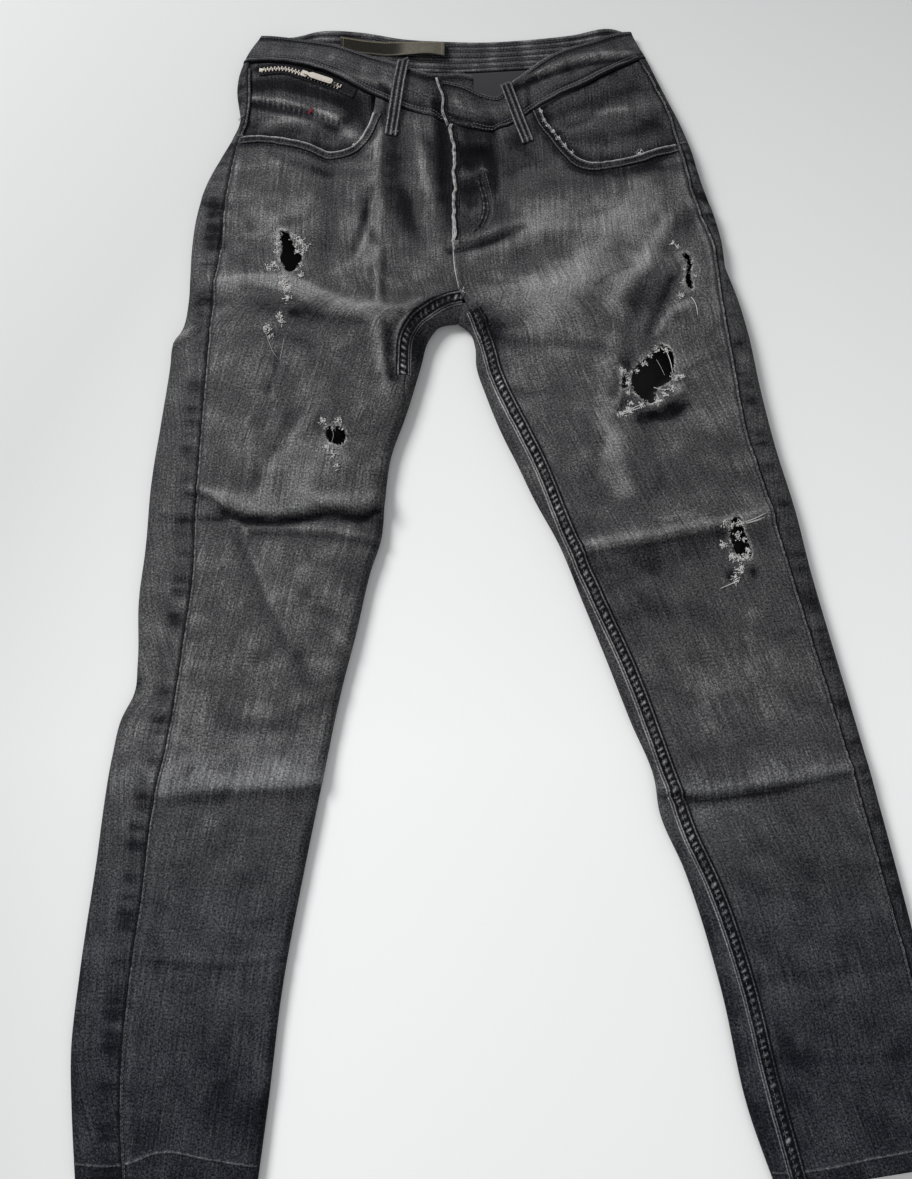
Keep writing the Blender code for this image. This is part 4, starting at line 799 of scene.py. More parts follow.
def tone_at(plan, ridge, near, side):
    """Tone of the worn cloth, 0 black to 1 pale, over plan points, with painted highlights and painted
    shade in it.
    """
    tone = np.interp(plan[:, 1], TONE_AT, TONE_RIGHT if side < 0 else TONE_LEFT)
    for middle, size, turn, change in SPOTS:
        c, s = math.cos(math.radians(turn)), math.sin(math.radians(turn))
        at = (plan - middle) @ np.array([[c, -s], [s, c]]) / size
        tone = tone + change * np.exp(-(at**2).sum(1))
    # Crease ridges lighten the tone and valleys darken it: painted highlight and painted shade, with
    # some wear on the ridges.
    tone = tone + 0.18 * np.clip(ridge, -1.8, 0) + 0.14 * np.clip(ridge, 0, 0.95)
    # Painted shade along the folded edges, where the cloth rounds away.
    tone = tone - 0.10 * hump(near, 0, 7.0)
    # Painted shadow beside each pocket mouth, below its lip.
    for mouth in (MOUTH_RIGHT, MOUTH_LEFT):
        line = smooth(mouth)
        mask = close_to(plan, line, 30)
        if mask.any():
            d, _, hand, _ = nearest_on(plan[mask], line)
            tone[mask] *= 1 - 0.6 * hump(d, 11, 3.0) * (hand < 0)
    for line in (HEM_RIGHT, HEM_LEFT):
        mask = close_to(plan, line, 30)
        if mask.any():
            d, _, hand, _ = nearest_on(plan[mask], line)
            tone[mask] += np.where(hand < 0, -0.05, 0) + 0.05 * hump(d, 0, 1.8)
    for name, seed in (("right", 21), ("left", 22)):
        line = OUTSEAMS[name]
        mask = close_to(plan, line, 30)
        if mask.any():
            d, run, hand, _ = nearest_on(plan[mask], line)
            blot = np.maximum(0, np.sin(2 * math.pi * run / 33.0 + 2.6 * wave(run, seed)))
            blot *= 0.72 + 0.4 * wave(1.7 * run + 40.0, seed + 1)
            place = np.exp(-(((d - 11) / 8.0) ** 4)) * (hand * side > 0)
            tone[mask] *= (1 - 0.62 * blot * place) * (1 - 0.5 * hump(d, 0, 1.8))
            tone[mask] -= 0.05 * hump(d, 12, 8.0) * (hand * side > 0)
            tone[mask] += 0.08 * hump(d, 6.4, 1.8) * (hand * side < 0)
    return np.clip(tone, 0.0, 1.0)


# Meshes


def new_piece(name, verts, faces, material, body=GARMENT, **attributes):
    """A smooth mesh from points in plan millimetres, riding on a body."""
    verts = np.array(verts, float).reshape(-1, 3).copy()
    verts[:, :2] -= MIDDLE
    mesh = bpy.data.meshes.new(name)
    mesh.from_pydata((verts * MM).tolist(), [], [list(map(int, face)) for face in faces])
    for key, values in attributes.items():
        values = np.array(values, np.float32)
        kind = "FLOAT_VECTOR" if values.ndim == 2 else "FLOAT"
        made = mesh.attributes.new(key, kind, "POINT")
        made.data.foreach_set("vector" if values.ndim == 2 else "value", values.ravel())
    for one in material if isinstance(material, (list, tuple)) else [material]:
        mesh.materials.append(one)
    mesh.shade_smooth()
    thing = bpy.data.objects.new(name, mesh)
    bpy.context.scene.collection.objects.link(thing)
    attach(thing, body)
    return thing


def facing_way(thing, upward=True):
    """Turns a sheet's faces over when they look the wrong way."""
    total = sum(p.normal.z for p in thing.data.polygons)
    if total < 0 if upward else total > 0:
        thing.data.flip_normals()
    return thing


def thicken(thing, wall, inner=1, rim=1):
    """Gives an outer skin its wall, with other materials inside and on the rim."""
    change = thing.modifiers.new("wall", "SOLIDIFY")
    change.thickness = wall * MM
    change.offset = -1
    change.use_even_offset = False
    change.material_offset = inner
    change.material_offset_rim = rim
    return thing


def grid_faces(rows, columns):
    """The quads of a grid of points, row by row."""
    r, c = np.meshgrid(np.arange(rows - 1), np.arange(columns - 1), indexing="ij")
    a = (r * columns + c).ravel()
    return np.column_stack([a, a + columns, a + columns + 1, a + 1])


def grid_normals(points):
    """Normals of a grid of points (rows, columns, 3)."""
    down = np.gradient(points, axis=0)
    across = np.gradient(points, axis=1)
    return unit(np.cross(down, across))


def upward_normals(points):
    """A normal straight up for each point."""
    return np.tile([0.0, 0.0, 1.0], (len(points), 1))


def ring_faces(count, rings):
    """The quads between closed rings of points."""
    faces = []
    for r in range(rings - 1):
        for i in range(count):
            j = (i + 1) % count
            faces.append([r * count + i, r * count + j, (r + 1) * count + j, (r + 1) * count + i])
    return faces


def cut_outlines(plan, faces, outlines, reach):
    """Moves points near each outline onto it and drops what lies inside.

    plan is the flat grid of points and faces its quads. Returns (plan, the
    triangles and quads that are left, as a list).
    """
    plan = plan.copy()
    on_edge = np.zeros(len(plan), bool)
    for outline in outlines:
        index = np.flatnonzero(close_to(plan, outline, 12))
        far, _, _, away = nearest_on(plan[index], closed(outline))
        snap = far < reach[index]
        plan[index[snap]] -= away[snap]
        on_edge[index[snap]] = True
    quads = np.array(faces)
    touched = on_edge[quads].any(1)
    whole = quads[~touched]
    kept = [list(face) for face in whole[~inside_any(plan[whole].mean(1), outlines)]]
    a, b, c, d = quads[touched].T
    first = (np.linalg.norm(plan[a] - plan[c], axis=1)
             <= np.linalg.norm(plan[b] - plan[d], axis=1))[:, None]
    one = np.where(first, np.column_stack([a, b, c]), np.column_stack([a, b, d]))
    two = np.where(first, np.column_stack([a, c, d]), np.column_stack([b, c, d]))
    parts = np.vstack([one, two])
    kept += [list(face) for face in parts[~inside_any(plan[parts].mean(1), outlines)]]
    return plan, kept


def ragged(outline, seed, rough=1.1, step=1.6):
    """A torn outline: smooth, closed, with small teeth."""
    rng = np.random.default_rng(seed)
    line = evenly(smooth([*outline, outline[0]], 6), step)[:-1]
    ahead = np.roll(line, -1, axis=0) - np.roll(line, 1, axis=0)
    across = unit(np.column_stack([-ahead[:, 1], ahead[:, 0]]))
    teeth = rng.uniform(-1, 1, len(line)) * 0.6 + rng.uniform(-1, 1, len(line)) ** 3
    return line + across * (rough * teeth)[:, None]


def tubes(paths, radius, sides=4):
    """One mesh of thin tubes along paths of points: (points, faces)."""
    verts, faces = [], []
    turn = np.linspace(0, 2 * math.pi, sides, endpoint=False)
    for path in paths:
        path = np.array(path, float)
        ahead = unit(np.gradient(path, axis=0))
        ref = np.where(np.abs(ahead[:, 2:3]) < 0.9, [[0.0, 0.0, 1.0]], [[1.0, 0.0, 0.0]])
        side = unit(np.cross(ahead, ref))
        up = np.cross(side, ahead)
        thin = radius * np.interp(np.linspace(0, 1, len(path)), [0, 0.7, 1], [1, 0.9, 0.45])
        ring = (path[:, None] + thin[:, None, None]
                * (np.cos(turn)[None, :, None] * side[:, None]
                   + np.sin(turn)[None, :, None] * up[:, None]))
        base = len(verts) and sum(len(v) for v in verts)
        verts.append(ring.reshape(-1, 3))
        faces += [[base + i for i in face] for face in ring_faces(sides, len(path))]
        last = base + (len(path) - 1) * sides
        faces.append([base + s for s in reversed(range(sides))])
        faces.append([last + s for s in range(sides)])
    return np.vstack(verts), faces


def dashes(points, normals, pitch, long, wide, high):
    """Stitches along a line of points: small lozenges, as (points, faces)."""
    run = lengths(points)
    middles = np.arange(pitch / 2, run[-1], pitch)
    at = at_many(points, middles)
    before, after = at_many(points, middles - long / 2), at_many(points, middles + long / 2)
    up = np.column_stack([np.interp(middles, run, normals[:, k]) for k in range(3)])
    side = np.cross(up, unit(after - before))
    verts = []
    for middle, share in ((before, 0.45), (at, 1.0), (after, 0.45)):
        for a, b in ((-0.5, 0.0), (0.0, 1.0), (0.5, 0.0), (0.0, -0.6)):
            verts.append(middle + side * (wide * a * share) + up * (high * b * share))
    count = len(at)
    verts = np.stack(verts, 1)
    faces = []
    for ring in (0, 4):
        for k in range(4):
            faces.append([ring + k, ring + (k + 1) % 4, ring + 4 + (k + 1) % 4, ring + 4 + k])
    faces += [[3, 2, 1, 0], [8, 9, 10, 11]]
    faces = np.array(faces)
    every = (faces[None] + 12 * np.arange(count)[:, None, None]).reshape(-1, 4)
    return verts.reshape(-1, 3), every


def merged(parts):
    """Several (points, faces) as one."""
    verts, faces, base = [], [], 0
    for points, some in parts:
        verts.append(np.array(points, float).reshape(-1, 3))
        faces += [[base + int(i) for i in face] for face in some]
        base += len(verts[-1])
    return np.vstack(verts), faces


def beside(line, offset):
    """A plan line moved to its left by an offset."""
    ahead = np.gradient(line, axis=0)
    across = unit(np.column_stack([-ahead[:, 1], ahead[:, 0]]))
    return line + across * np.broadcast_to(offset, len(line))[:, None]


def stitch_line(line, lift, pitch, long, wide, high):
    """A row of stitches along a plan line on the upper side."""
    line = evenly(np.array(line, float), 2.5)
    points, normals = on_top(line, lift)
    return dashes(points, normals, pitch, long, wide, high)


# Settings


class ClothSettings(PropertyGroup):
    """Sizes of the cloth that a user may change."""

    row_step: FloatProperty(name="Row step", description="Distance between the rows of the cloth",
                            default=0.003, min=0.002, max=0.01, unit="LENGTH")
    weave_size: FloatProperty(name="Weave size", description="Distance between the twill's ribs",
                              default=0.0009, min=0.0004, max=0.003, unit="LENGTH")
    stitch_pitch: FloatProperty(name="Stitch pitch", description="Distance from stitch to stitch",
                                default=0.0033, min=0.002, max=0.008, unit="LENGTH")


def colour_setting(title, about, value):
    """A colour that a user may change."""
    return FloatVectorProperty(name=title, description=about, subtype="COLOR", default=value,
                               min=0, max=1)


class ColourSettings(PropertyGroup):
    """Colours of the jeans that a user may change."""

    # The denim colours are stops of the tone ramp, so the dark ones also colour painted shade and the
    # pale one painted highlights.
    denim_dark: colour_setting("Unworn denim", "Denim that has kept its dye", (0.009, 0.009, 0.011))
    denim_mid: colour_setting("Worn denim", "Denim worn to charcoal", (0.052, 0.0515, 0.053))
    denim_pale: colour_setting("Faded denim", "Denim on ridges and thighs", (0.20, 0.198, 0.199))
    inside: colour_setting("Inside", "The paler inner face of the denim", (0.045, 0.045, 0.047))
    thread: colour_setting("Seam thread", "The thread of the seams", (0.13, 0.13, 0.135))
    fray: colour_setting("Frayed cotton", "Loose undyed yarn at the rips", (0.62, 0.61, 0.60))
    label: colour_setting("Label", "The bare waist label", (0.085, 0.078, 0.062))
    metal: colour_setting("Zip metal", "The zip's worn metal", (0.50, 0.46, 0.41))


def sizes():
    return bpy.context.scene.jeans_cloth


def colours():
    return bpy.context.scene.jeans_colours


# Materials


def node_group(name, inputs, outputs):
    """A shader node group with named sockets: (group, its input node, its output node)."""
    made = bpy.data.node_groups.new(name, "ShaderNodeTree")
    for label, kind in inputs:
        made.interface.new_socket(name=label, in_out="INPUT", socket_type="NodeSocket" + kind)
    for label, kind in outputs:
        made.interface.new_socket(name=label, in_out="OUTPUT", socket_type="NodeSocket" + kind)
    return made, made.nodes.new("NodeGroupInput"), made.nodes.new("NodeGroupOutput")


def put(tree, kind, inputs=None, **settings):
    """A node with its settings; an input is a value or another node's socket."""
    made = tree.nodes.new("ShaderNode" + kind)
    for key, value in settings.items():
        setattr(made, key, value)
    for key, value in (inputs or {}).items():
        socket = made.inputs[key]
        if isinstance(value, bpy.types.NodeSocket):
            tree.links.new(value, socket)
        else:
            socket.default_value = value
    return made


def sums(tree, operation, a, b, clamp=False):
    """The result socket of a Math node."""
    made = put(tree, "Math", {0: a, 1: b}, operation=operation, use_clamp=clamp)
    return made.outputs[0]


def blend(tree, share, first, second, **settings):
    """The colour socket of a Mix node."""
    made = put(tree, "Mix", {0: share, 6: first, 7: second}, data_type="RGBA", **settings)
    return made.outputs[2]


def twill_group():
    """Diagonal ribs of the twill, with uneven yarns."""
    group, given, out = node_group("Twill", [("Cloth", "Vector"), ("Ribs per mm", "Float")],
                                   [("Height", "Float"), ("Slub", "Float")])
    scaled = put(group, "VectorMath", {0: given.outputs["Cloth"]}, operation="SCALE")
    group.links.new(given.outputs["Ribs per mm"], scaled.inputs["Scale"])
    turned = put(group, "Mapping", {"Vector": scaled.outputs[0],
                                    "Rotation": (0.0, 0.0, math.radians(28))})
    ribs = put(group, "TexWave", {"Vector": turned.outputs[0], "Scale": 0.314, "Distortion": 0.6,
                                  "Detail": 1.0, "Detail Scale": 0.8}, wave_type="BANDS")
    long = put(group, "Mapping", {"Vector": given.outputs["Cloth"], "Scale": (0.6, 0.018, 0.6)})
    slub = put(group, "TexNoise", {"Vector": long.outputs[0], "Scale": 1.0, "Detail": 3.0,
                                   "Roughness": 0.6})
    fine = put(group, "TexNoise", {"Vector": given.outputs["Cloth"], "Scale": 1.1, "Detail": 2.0})
    height = sums(group, "ADD", sums(group, "MULTIPLY", ribs.outputs["Fac"], 0.5),
                  sums(group, "MULTIPLY", fine.outputs["Fac"], 0.5))
    group.links.new(height, out.inputs["Height"])
    group.links.new(slub.outputs["Fac"], out.inputs["Slub"])
    return group


def wear_and_shade_group():
    """Worn black denim: colour, roughness and height from its tone, which holds both its wear and its
    painted highlights and shade.
    """
    colour = colours()
    group, given, out = node_group(
        "Denim Wear",
        [("Cloth", "Vector"), ("Tone", "Float"), ("Cool", "Float"), ("Fray", "Float"),
         ("Slub", "Float"), ("Weave", "Float")],
        [("Color", "Color"), ("Roughness", "Float"), ("Height", "Float")])
    patches = put(group, "TexNoise", {"Vector": given.outputs["Cloth"], "Scale": 0.035,
                                      "Detail": 4.0, "Roughness": 0.55})
    specks = put(group, "TexNoise", {"Vector": given.outputs["Cloth"], "Scale": 0.55,
                                     "Detail": 3.0, "Roughness": 0.75})
    tone = given.outputs["Tone"]
    for value, share in ((patches.outputs["Fac"], 0.36), (specks.outputs["Fac"], 0.30),
                         (given.outputs["Slub"], 0.22), (given.outputs["Weave"], 0.14)):
        tone = sums(group, "ADD", tone, sums(group, "MULTIPLY",
                                             sums(group, "SUBTRACT", value, 0.5), share))
    ramp = put(group, "ValToRGB", {"Fac": tone})
    stops = ramp.color_ramp.elements
    stops[0].position, stops[0].color = 0.0, (0.0015, 0.0015, 0.002, 1)
    stops[1].position, stops[1].color = 1.0, (0.42, 0.415, 0.41, 1)
    for place, shade in ((0.22, colour.denim_dark), (0.52, colour.denim_mid),
                         (0.78, colour.denim_pale)):
        stop = stops.new(place)
        stop.color = (*shade, 1)
    low = sums(group, "MULTIPLY", given.outputs["Tone"], 0.7)
    high = sums(group, "SUBTRACT", 2.75, sums(group, "MULTIPLY", given.outputs["Tone"], 1.9))
    worn = put(group, "MapRange", {"Value": specks.outputs["Fac"], "From Min": 0.36,
                                   "From Max": 0.64, "To Min": low, "To Max": high})
    streaks = put(group, "MapRange", {"Value": given.outputs["Slub"], "From Min": 0.3,
                                      "From Max": 0.7, "To Min": 0.78, "To Max": 1.25})
    shade = sums(group, "MULTIPLY", worn.outputs[0], streaks.outputs[0])
    speckled = put(group, "VectorMath", {0: ramp.outputs["Color"], "Scale": shade},
                   operation="SCALE")
    cooled = blend(group, given.outputs["Cool"], speckled.outputs[0], (0.92, 0.975, 1.06, 1),
                   blend_type="MULTIPLY")
    fray = sums(group, "MULTIPLY", given.outputs["Fray"], specks.outputs["Fac"], True)
    group.links.new(blend(group, fray, cooled, (*colour.fray, 1)), out.inputs["Color"])
    group.links.new(sums(group, "ADD", sums(group, "MULTIPLY", specks.outputs["Fac"], 0.12), 0.82),
                    out.inputs["Roughness"])
    group.links.new(sums(group, "ADD", sums(group, "MULTIPLY", given.outputs["Slub"], 0.6),
                         given.outputs["Weave"]), out.inputs["Height"])
    return group


def grain_group():
    """Fine grain with creases, for the label, tape, metal and yarn."""
    group, given, out = node_group(
        "Grain", [("Cloth", "Vector"), ("Size", "Float"), ("Light", "Color"), ("Dark", "Color")],
        [("Color", "Color"), ("Roughness", "Float"), ("Height", "Float")])
    noise = put(group, "TexNoise", {"Vector": given.outputs["Cloth"], "Detail": 5.0,
                                    "Roughness": 0.65})
    group.links.new(given.outputs["Size"], noise.inputs["Scale"])
    cells = put(group, "TexVoronoi", {"Vector": given.outputs["Cloth"]}, feature="F1")
    group.links.new(given.outputs["Size"], cells.inputs["Scale"])
    mixed = blend(group, noise.outputs["Fac"], given.outputs["Dark"], given.outputs["Light"])
    group.links.new(mixed, out.inputs["Color"])
    group.links.new(sums(group, "ADD", sums(group, "MULTIPLY", noise.outputs["Fac"], 0.4), 0.35),
                    out.inputs["Roughness"])
    group.links.new(sums(group, "ADD", noise.outputs["Fac"], cells.outputs["Distance"]),
                    out.inputs["Height"])
    return group


def shared_group(name, make):
    return bpy.data.node_groups.get(name) or make()


def attribute(tree, name, output):
    return put(tree, "Attribute", attribute_type="GEOMETRY", attribute_name=name).outputs[output]


def shader(name, roughness, metallic=0.0, sheen=0.0):
    """A material with one Principled BSDF: (material, tree, shader)."""
    made = bpy.data.materials.new(name)
    made.use_nodes = True
    tree = made.node_tree
    main = next(n for n in tree.nodes if n.type == "BSDF_PRINCIPLED")
    main.inputs["Roughness"].default_value = roughness
    main.inputs["Metallic"].default_value = metallic
    main.inputs["Specular IOR Level"].default_value = 0.5 if metallic else 0.07
    main.inputs["Sheen Weight"].default_value = sheen
    main.inputs["Sheen Roughness"].default_value = 0.45
    return made, tree, main


def denim(name, tone_shift=0.0, bump=0.5):
    """Worn black denim that reads its tone, with its wear and its painted light and shade, from the
    mesh.
    """
    found = bpy.data.materials.get(name)
    if found:
        return found
    made, tree, main = shader(name, 0.9, sheen=0.015)
    cloth = attribute(tree, "cloth", "Vector")
    twill = put(tree, "Group", node_tree=shared_group("Twill", twill_group))
    tree.links.new(cloth, twill.inputs["Cloth"])
    twill.inputs["Ribs per mm"].default_value = MM / sizes().weave_size
    wear = put(tree, "Group", node_tree=shared_group("Denim Wear", wear_and_shade_group))
    tone = attribute(tree, "tone", "Fac")
    if tone_shift:
        tone = sums(tree, "ADD", tone, tone_shift)
    for socket, value in (("Cloth", cloth), ("Tone", tone), ("Cool", attribute(tree, "cool", "Fac")),
                          ("Fray", attribute(tree, "fray", "Fac")),
                          ("Slub", twill.outputs["Slub"]), ("Weave", twill.outputs["Height"])):
        tree.links.new(value, wear.inputs[socket])
    raised = put(tree, "Bump", {"Strength": bump, "Distance": 0.0004,
                                "Height": wear.outputs["Height"]})
    tree.links.new(wear.outputs["Color"], main.inputs["Base Color"])
    tree.links.new(wear.outputs["Roughness"], main.inputs["Roughness"])
    tree.links.new(raised.outputs["Normal"], main.inputs["Normal"])
    return made


def grained(name, light, dark, size, metallic=0.0, bump=0.3, roughness=0.5):
    """A grained material between two colours; coordinates are object millimetres."""
    found = bpy.data.materials.get(name)
    if found:
        return found
    made, tree, main = shader(name, roughness, metallic)
    place = put(tree, "TexCoord").outputs["Object"]
    scaled = put(tree, "VectorMath", {0: place, "Scale": 1000.0}, operation="SCALE")
    grain = put(tree, "Group", node_tree=shared_group("Grain", grain_group))
    tree.links.new(scaled.outputs[0], grain.inputs["Cloth"])
    grain.inputs["Size"].default_value = size
    grain.inputs["Light"].default_value = (*light, 1)
    grain.inputs["Dark"].default_value = (*dark, 1)
    raised = put(tree, "Bump", {"Strength": bump, "Distance": 0.0003,
                                "Height": grain.outputs["Height"]})
    tree.links.new(grain.outputs["Color"], main.inputs["Base Color"])
    if metallic or roughness < 0.8:
        tree.links.new(grain.outputs["Roughness"], main.inputs["Roughness"])
    tree.links.new(raised.outputs["Normal"], main.inputs["Normal"])
    return made


def tinted(name, tint, light, dark, size, **look):
    """A grained material in two shades of one tint."""
    return grained(name, [light * c for c in tint], [dark * c for c in tint], size, **look)


def outer_denim():
    return denim("denim_outer")


def seam_denim():
    return denim("denim_seam", 0.03)


def inner_denim():
    return tinted("denim_inside", colours().inside, 1.3, 0.5, 1.2, bump=0.6, roughness=0.95)


def seam_thread():
    return tinted("seam_thread", colours().thread, 1.5, 0.6, 1.6, bump=0.5, roughness=0.9)


def frayed_cotton():
    return tinted("frayed_cotton", colours().fray, 1.15, 0.55, 1.5, bump=0.4, roughness=0.95)


def zip_metal():
    return tinted("zip_metal", colours().metal, 1.0, 0.55, 0.9, metallic=1.0, bump=0.15,
                  roughness=0.4)


# Cloth patches


def inner_reach(half, v):
    """Plan width of the rounded edge at the inner end of row v."""
    end = half.inner_at(v, half.front_middle)
    return EDGE_REACH * float(edge_rise(end[None])[0])


def round_edge(c, reach):
    """Turns distances along the cloth round a folded edge into plan distances."""
    quarter = 1.2 * reach
    turn = np.minimum(np.abs(c) / quarter, 1) * math.pi / 2
    flat = np.maximum(np.abs(c) - quarter, 0)
    return np.sign(c) * (reach * (1 - np.cos(turn)) + flat)


def along_cloth(place, reach):
    """The reverse of round_edge for one plan distance."""
    far = abs(place)
    quarter = 1.2 * reach
    if far > reach:
        return math.copysign(far - reach + quarter, place)
    return math.copysign(quarter * math.acos(max(0.0, 1 - far / reach)) * 2 / math.pi, place)


def spread(count, weight):
    """count shares from 0 to 1, closer together where the weight is high."""
    fine = np.linspace(0, 1, 800)
    total = np.concatenate([[0], np.cumsum((weight(fine[1:]) + weight(fine[:-1])) / 2)])
    return np.interp(np.linspace(0, total[-1], count), total, fine)


def edge_weight(first, last, *edges):
    """A weight that is double near the folded edges at places along the cloth."""
    def weight(share):
        at = first + (last - first) * share
        return 1 + 1.6 * sum(hump(at, edge, 11.0) for edge in edges)
    return weight


def placed(top, under, places):
    """(plan points, upper mask) at places from the inner end of a row."""
    upper = places <= 0
    plan = np.where(upper[:, None], at_many(top[::-1], np.maximum(-places, 0)),
                    at_many(under, np.maximum(places, 0)))
    return plan, upper


def front_row(half, v, shares):
    """One row of a front panel: (plan, upper, distance across)."""
    top, seam, inseam = half.top_row(v)
    reach = inner_reach(half, v)
    long = lengths(top)[-1]
    first = along_cloth(seam + SEAM_GAP / 2 - long, reach)
    last = along_cloth(inseam - SEAM_GAP / 2, reach)
    at = first + (last - first) * shares(first, last)
    plan, upper = placed(top, half.under_row(v), round_edge(at, reach))
    return plan, upper, at


def row_shares(half, rips, count, first_v, last_v):
    """Row parameters, closer together where the panel is ripped."""
    near = [rip_place(half, np.array(rip, float)) for rip in rips]

    def weight(share):
        v = first_v + (last_v - first_v) * share
        scale = np.where(v < 1, HIP_LONG / LEG_LONG, 1.0)
        return scale * (1 + 2.2 * sum(np.exp(-(((v - at) / size) ** 4)) for at, size, _, _ in near))
    return first_v + (last_v - first_v) * spread(count, weight), near


def rip_place(half, rip):
    """(v, its half size, share across, its half size) of a rip on a front panel."""
    middle = rip.mean(0)
    best = None
    for v in np.linspace(0, 2, 161):
        plan, _, _ = front_row(half, v, lambda a, b: np.linspace(0, 1, 50))
        far = np.linalg.norm(plan - middle, axis=1)
        k = int(far.argmin())
        if best is None or far[k] < best[0]:
            best = (far[k], v, k / 49, np.linalg.norm(plan[-1] - plan[0]))
    low, high = rip.min(0), rip.max(0)
    tall = (high[1] - low[1]) / 2 + 9
    wide = (high[0] - low[0]) / 2 + 9
    return (best[1], tall / (HIP_LONG if best[1] < 1 else LEG_LONG), best[2], wide / best[3])


def fly_lift(v, far):
    """How far the left front's fly edge lies over the right front."""
    across = soft_step((FLY_WIDE - far) / FLY_SOFT)
    down = 1 - soft_step((v - FLY_END) / FLY_FADE)
    return FLY_LIFT * across * down


def along_row(v):
    """Distance down the garment of row v."""
    return np.where(v < 1, v * HIP_LONG, HIP_LONG + (v - 1) * LEG_LONG)


def stacked(rows):
    """Rows of (plan points, upper mask, distances across) as one patch."""
    return [np.concatenate(part) for part in zip(*rows)]


def flat_weave(plan):
    """Cloth coordinates of a piece whose yarns run along the plan's axes."""
    return np.column_stack([plan[:, 0], -plan[:, 1], 0 * plan[:, 0]])


def coolness(plan):
    """The cooler tint of the lower legs, 0 to 1."""
    return soft_step((110 - plan[:, 1]) / 380)


def two_sides(plan, ridge, near, right):
    """Tone over plan points, with the right half's fade where the mask is true."""
    return np.where(right, tone_at(plan, ridge, near, -1), tone_at(plan, ridge, near, 1))


def cloth_facts(plan, upper, side, ridge, near):
    """The tone and tint attributes of a patch's points."""
    tone = tone_at(plan, ridge, near, side)
    tone = np.where(upper, tone, np.interp(plan[:, 1], TONE_AT, TONE_RIGHT) - 0.04)
    return tone, coolness(plan)


def front_grid(half, count_rows, count_columns, rips=()):
    """A front panel's grid: (rows, plan points, upper mask, cloth coordinates)."""
    rows, near = row_shares(half, rips, count_rows, FIRST_ROW, LAST_ROW)

    def shares(first, last):
        edges = [0.0] if half.side < 0 else []
        base = edge_weight(first, last, *edges)
        return spread(count_columns, lambda s: base(s) * (
            1 + 1.6 * sum(np.exp(-(((s - at) / size) ** 4)) for _, _, at, size in near)))
    plan, upper, across = stacked(front_row(half, v, shares) for v in rows)
    down = np.repeat([float(along_row(v)) for v in rows], count_columns)
    return rows, plan, upper, np.column_stack([across, down, 0 * down])


def spacing(plan, rows, columns):
    """Half the local distance between a grid's points."""
    grid = plan.reshape(rows, columns, 2)
    down = np.linalg.norm(np.gradient(grid, axis=0), axis=2)
    across = np.linalg.norm(np.gradient(grid, axis=1), axis=2)
    return 0.56 * np.maximum(down, across).ravel()


def front_panel(name):
    """One front of the jeans, with its rips and its pocket mouth cut out."""
    half = HALVES[name]
    rips = RIPS_RIGHT if half.side < 0 else RIPS_LEFT
    mouth = (MOUTH_RIGHT, MOUTH_RIGHT_CORNER) if half.side < 0 else (MOUTH_LEFT,
                                                                     MOUTH_LEFT_CORNER)
    step = sizes().row_step / MM
    count_rows, count_columns = round(PANEL_LONG / step), round(PANEL_WIDE / step)
    rows, plan, upper, cloth = front_grid(half, count_rows, count_columns, list(rips.values()))
    holes = [ragged(rip, 40 + k, 1.0) for k, rip in enumerate(rips.values())]
    opening = np.vstack([smooth(mouth[0]), np.array(mouth[1], float)])
    faces = grid_faces(count_rows, count_columns)
    if half.side > 0:
        faces = faces[:, ::-1]
    plan, kept = cut_outlines(plan, faces, holes + [opening],
                              spacing(plan, count_rows, count_columns))
    points, ridge, near = surface(plan, upper)
    far = np.full(len(plan), 99.0)
    for hole in holes:
        mask = close_to(plan, hole, 16)
        far[mask] = np.minimum(far[mask], nearest_on(plan[mask], closed(hole))[0])
    rng = np.random.default_rng(5)
    uneven = rng.uniform(-0.5, 0.5, len(plan))
    points[:, 2] += (1.3 + 0.7 * uneven) * hump(far, 0, 3.2)
    grid_middle = np.repeat(plan.reshape(count_rows, count_columns, 2)[:, -1], count_columns, 0)
    if half.side > 0:
        from_middle = np.linalg.norm(plan - grid_middle, axis=1)
        points[:, 2] += fly_lift(np.repeat(rows, count_columns), from_middle)
    tone, cool = cloth_facts(plan, upper, half.side, ridge, near)
    tone = np.clip(tone + 0.10 * hump(far, 0, 6.0), 0, 1)
    patchy = np.maximum(0, wave(plan[:, 0] * 1.7 + plan[:, 1] * 2.3, 61) + 0.2)
    fray = (1.2 + uneven) * patchy * hump(far, 0, 1.1)
    keep, faces = renumbered(kept, len(points))
    thing = new_piece(f"front_{name}", points[keep], faces, [outer_denim(), inner_denim()],
                      cloth=cloth[keep], tone=tone[keep], cool=cool[keep], fray=fray[keep])
    return thicken(thing, WALL)


def renumbered(faces, count):
    """(kept point indices, faces with new numbers)."""
    used = np.unique(np.concatenate([np.array(face) for face in faces]))
    place = np.full(count, -1)
    place[used] = np.arange(len(used))
    return used, [[int(place[i]) for i in face] for face in faces]


